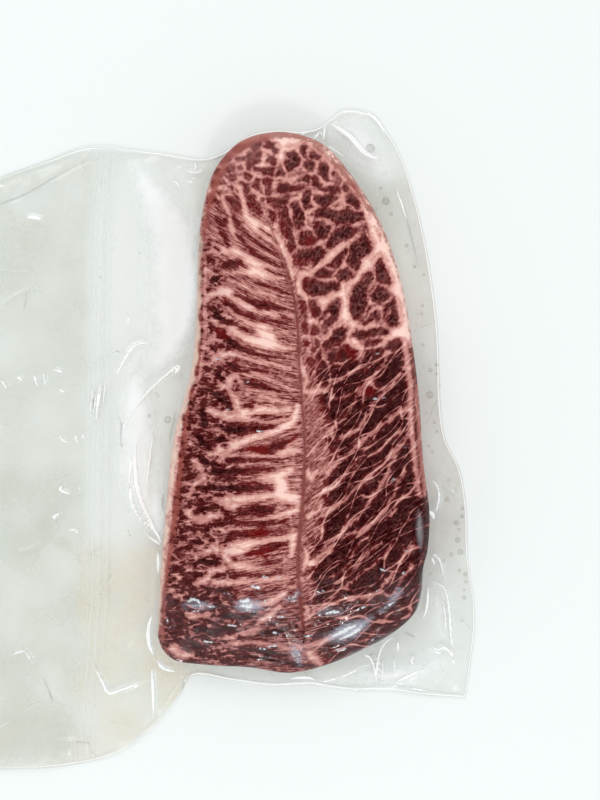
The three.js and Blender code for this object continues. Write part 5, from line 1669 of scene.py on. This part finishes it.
# %% Film of the pouch
juice_mask = f.ease(f.shift(cloud, 14.0, juice_depth), -4.0, 6.0, 0.0, 0.5)
warm_share = f.sum("MULTIPLY_ADD", warmth, f.ease(cloud, 0.3, 0.7, 0.4, 1.3), juice_mask, clamp=True)
tint = f.blend(warm_share, VEIL_GREY, JUICE_BEIGE)
tint = f.blend(pinkness, tint, JUICE_PINK)
veil_haze = f.sum("MULTIPLY", veil_share, f.ease(cloud, 0.25, 0.75, 0.8, 1.25))
stiff_white = f.sum("MAXIMUM", weld_ribs, wrinkles)
broad_painted_sheen = f.sum("MAXIMUM", painted_sheen_mask, slope)
whitened = f.sum("MAXIMUM", stiff_white, f.ease(broad_painted_sheen, 0.0, 0.2))
tint = f.blend(whitened, tint, MILKY)
# Painted shade: grey on the dark creases and their flanks.
tint = f.blend(f.sum("GREATER_THAN", valley_shade_mask, f.sum("MAXIMUM", veil_haze, 0.02)), tint, VALLEY_SHADE_GREY)
# Painted highlights and painted sheen: white on the bright creases, the pouch's edge and the sheen.
tint = f.blend(f.sum("MAXIMUM", ridge_highlight_mask, painted_sheen_mask), tint, HIGHLIGHT_WHITE)
haze = f.sum("MAXIMUM", f.sum("MULTIPLY", stiff_white, 0.62), broad_painted_sheen)
haze = f.sum("MAXIMUM", veil_haze, haze)
haze = f.sum("MAXIMUM", haze, f.sum("MAXIMUM", ridge_highlight_mask, valley_shade_mask))
height = f.group(dimples, {"Place": place, "Amount": 0.07})["Height"]
height = f.sum("MULTIPLY_ADD", f.sum("ADD", weld_ribs, wrinkles), 0.4, height)
height = f.sum("MULTIPLY_ADD", ridge_highlight_mask, 0.6, height)
film_shader(f, height, haze, tint, LOOSE_GLOSS, LOOSE_SLANT)
pouch.data.materials.append(clear_film)
print("the loose film's finish takes", len(clear_film.node_tree.nodes), "nodes")

# %% [markdown]
# ## The finish of the tight film
#
# The tight film is nearly invisible and takes little gloss, or it would hide the meat. Where it puckers it
# shines more, and it takes a thin milky haze that is partly painted sheen. Glows are painted reflections of
# the window, broken up along slanted bands, as light from a window is on gathered film. Glints are painted
# white on top of their dents as painted highlights.

# %% Film on the meat
TIGHT_SLANT = 0.03
tight_film, t = new_finish("film_tight_on_meat")
place = t.add("TexCoord").outputs["Object"]
puckered = t.field("pucker")
cloud = t.noise(t.stretch(place, 70.0, 90.0, 70.0), 1.0, 3.0, 0.6)
# Milky haze where the film puckers, partly a painted sheen of the window's reflection at the wide end.
painted_sheen_and_milk = t.ease(cloud, 0.45, 0.75, 0.0, t.ease(puckered, 0.12, 0.5, 0.0, 0.06))
speck = t.noise(place, 900.0, 2.0, 0.6)
band_place = t.add("VectorRotate", {"Vector": t.stretch(place, 260.0, 1300.0, 0.0), "Angle": 0.45})
bands = t.noise(band_place.outputs[0], 1.0, 2.0)
# Painted reflection of the window, broken up by cloud and by slanted bands.
painted_glow = t.shift(cloud, 5.0, t.field("painted_glow"))
painted_glow = t.ease(t.shift(bands, 3.6, painted_glow), -1.2, 3.2, 0.0, 0.6)
draped = t.ease(t.shift(cloud, 2.0, t.field("fold")), -1.2, 1.0, 0.0, 0.26)
# Painted highlight: a white spark on each glint.
painted_spark = t.ease(t.shift(speck, 2.0, t.field("glint")), -0.1, 0.5, 0.0, 0.85)
# The milky share: painted sheen, painted reflections and painted highlights, with the milky folds.
painted_sheen_and_milk = t.sum("MAXIMUM", t.sum("MAXIMUM", painted_sheen_and_milk, painted_glow), t.sum("MAXIMUM", draped, painted_spark))
tight_gloss = t.ease(puckered, 0.12, 0.5, 0.002, 0.014)
height = t.group(dimples, {"Place": place, "Amount": t.sum("MULTIPLY", puckered, 0.6)})["Height"]
# Folds and painted highlights take milky white, painted sheen and painted reflections take lilac.
sheen_and_milk_colour = t.blend(t.sum("MULTIPLY_ADD", draped, 4.0, painted_spark), PAINTED_GLOW_LILAC, MILKY)
film_shader(t, height, painted_sheen_and_milk, sheen_and_milk_colour, tight_gloss, TIGHT_SLANT)
meat_film.data.materials.append(tight_film)
print("the tight film's finish takes", len(tight_film.node_tree.nodes), "nodes")

# %% [markdown]
# ## The finish of the drops
#
# A drop seen from above is clear in the middle and dark round its rim, where it bends the light most. A
# clear and a grey shader, mixed by how far the surface faces away, give that without any bending of light.

# %% Drops
DROP_CLEAR, DROP_RIM = (0.95, 0.95, 0.94, 1), colour(158, 155, 148)
drop_skin, d = new_finish("clear_drop")
clear = d.add("BsdfTransparent", {"Color": DROP_CLEAR}).outputs[0]
rim_shade = d.add("BsdfPrincipled", {"Base Color": DROP_RIM, "Roughness": 0.08}).outputs[0]
facing_away = d.add("LayerWeight", {"Blend": 0.16}).outputs["Facing"]
drop_surface = d.add("MixShader", {0: facing_away, 1: clear, 2: rim_shade}).outputs[0]
d.add("OutputMaterial", {"Surface": drop_surface})
juice_drops.data.materials.append(drop_skin)
print("the drops' finish takes", len(drop_skin.node_tree.nodes), "nodes")

# %% [markdown]
# ## Stage, light and camera
#
# A plain pale floor, a large soft lamp with a small bright pane beyond the wide end, a larger lamp across
# from them and an even grey world give the flat bright light of a worktop. The camera looks straight down.

# %% Floor, lamps and world
FLOOR_HALF, FLOOR_HEIGHT = 3, -0.0004
FLOOR_CORNERS = [(-1, -1), (1, -1), (1, 1), (-1, 1)]
PAPER_COLOUR, PAPER_ROUGHNESS = (0.87, 0.9, 0.89, 1), 0.7
floor_mesh = bpy.data.meshes.new("floor")
floor_points = [(x * FLOOR_HALF, y * FLOOR_HALF, FLOOR_HEIGHT) for x, y in FLOOR_CORNERS]
floor_mesh.from_pydata(floor_points, [], [(0, 1, 2, 3)])
floor = bpy.data.objects.new("floor", floor_mesh)
bpy.context.scene.collection.objects.link(floor)
paper = bpy.data.materials.new("pale_floor")
paper.use_nodes = True
paper_shader = paper.node_tree.nodes["Principled BSDF"]
paper_shader.inputs["Base Color"].default_value = PAPER_COLOUR
paper_shader.inputs["Roughness"].default_value = PAPER_ROUGHNESS
floor_mesh.materials.append(paper)


def soft_lamp(name, place, aim, width, depth_of_lamp, power):
    """A rectangle of light at a place, turned so that it faces the aim."""
    lamp = bpy.data.lights.new(name, "AREA")
    lamp.shape, lamp.size, lamp.size_y, lamp.energy = "RECTANGLE", width, depth_of_lamp, power
    item = bpy.data.objects.new(name, lamp)
    bpy.context.scene.collection.objects.link(item)
    item.location = place
    item.rotation_mode = "QUATERNION"
    item.rotation_quaternion = (Vector(aim) - Vector(place)).to_track_quat("-Z", "Y")


LAMP_AIM = (0.03, 0.0, 0.0)
soft_lamp("window", (0.1, -0.85, 0.95), LAMP_AIM, 0.6, 0.3, 1.2)
soft_lamp("bright_pane", (0.16, -0.83, 0.97), LAMP_AIM, 0.12, 0.09, 1.2)
soft_lamp("sky", (-0.45, 1.25, 1.25), LAMP_AIM, 0.9, 0.7, 5.0)

WORLD_COLOUR, WORLD_STRENGTH = (0.97, 1.0, 1.0, 1), 0.88
world = bpy.data.worlds.new("grey_room")
world.use_nodes = True
world_shader = world.node_tree.nodes["Background"]
world_shader.inputs["Color"].default_value = WORLD_COLOUR
world_shader.inputs["Strength"].default_value = WORLD_STRENGTH
bpy.context.scene.world = world
bpy.context.scene.view_settings.view_transform = "Standard"
print("three lamps and a world of strength", WORLD_STRENGTH)

# %% [markdown]
# ## The camera
#
# The camera hangs straight above, at the height from which the strokes were read. A camera that has no turn
# looks down, so only its place is set.

# %% Camera
LENS_LENGTH, SENSOR_WIDTH, NEAREST_SEEN = 48.0, 36.0, 0.01
camera = bpy.data.cameras.new("camera")
camera.lens = LENS_LENGTH
camera.sensor_width = SENSOR_WIDTH
camera.clip_start = NEAREST_SEEN
camera_item = bpy.data.objects.new("camera", camera)
camera_item.location = (*LENS_PLACE * MM, LENS_HEIGHT * MM)
bpy.context.scene.collection.objects.link(camera_item)
bpy.context.scene.camera = camera_item
print("the camera hangs", LENS_HEIGHT, "mm above the floor")
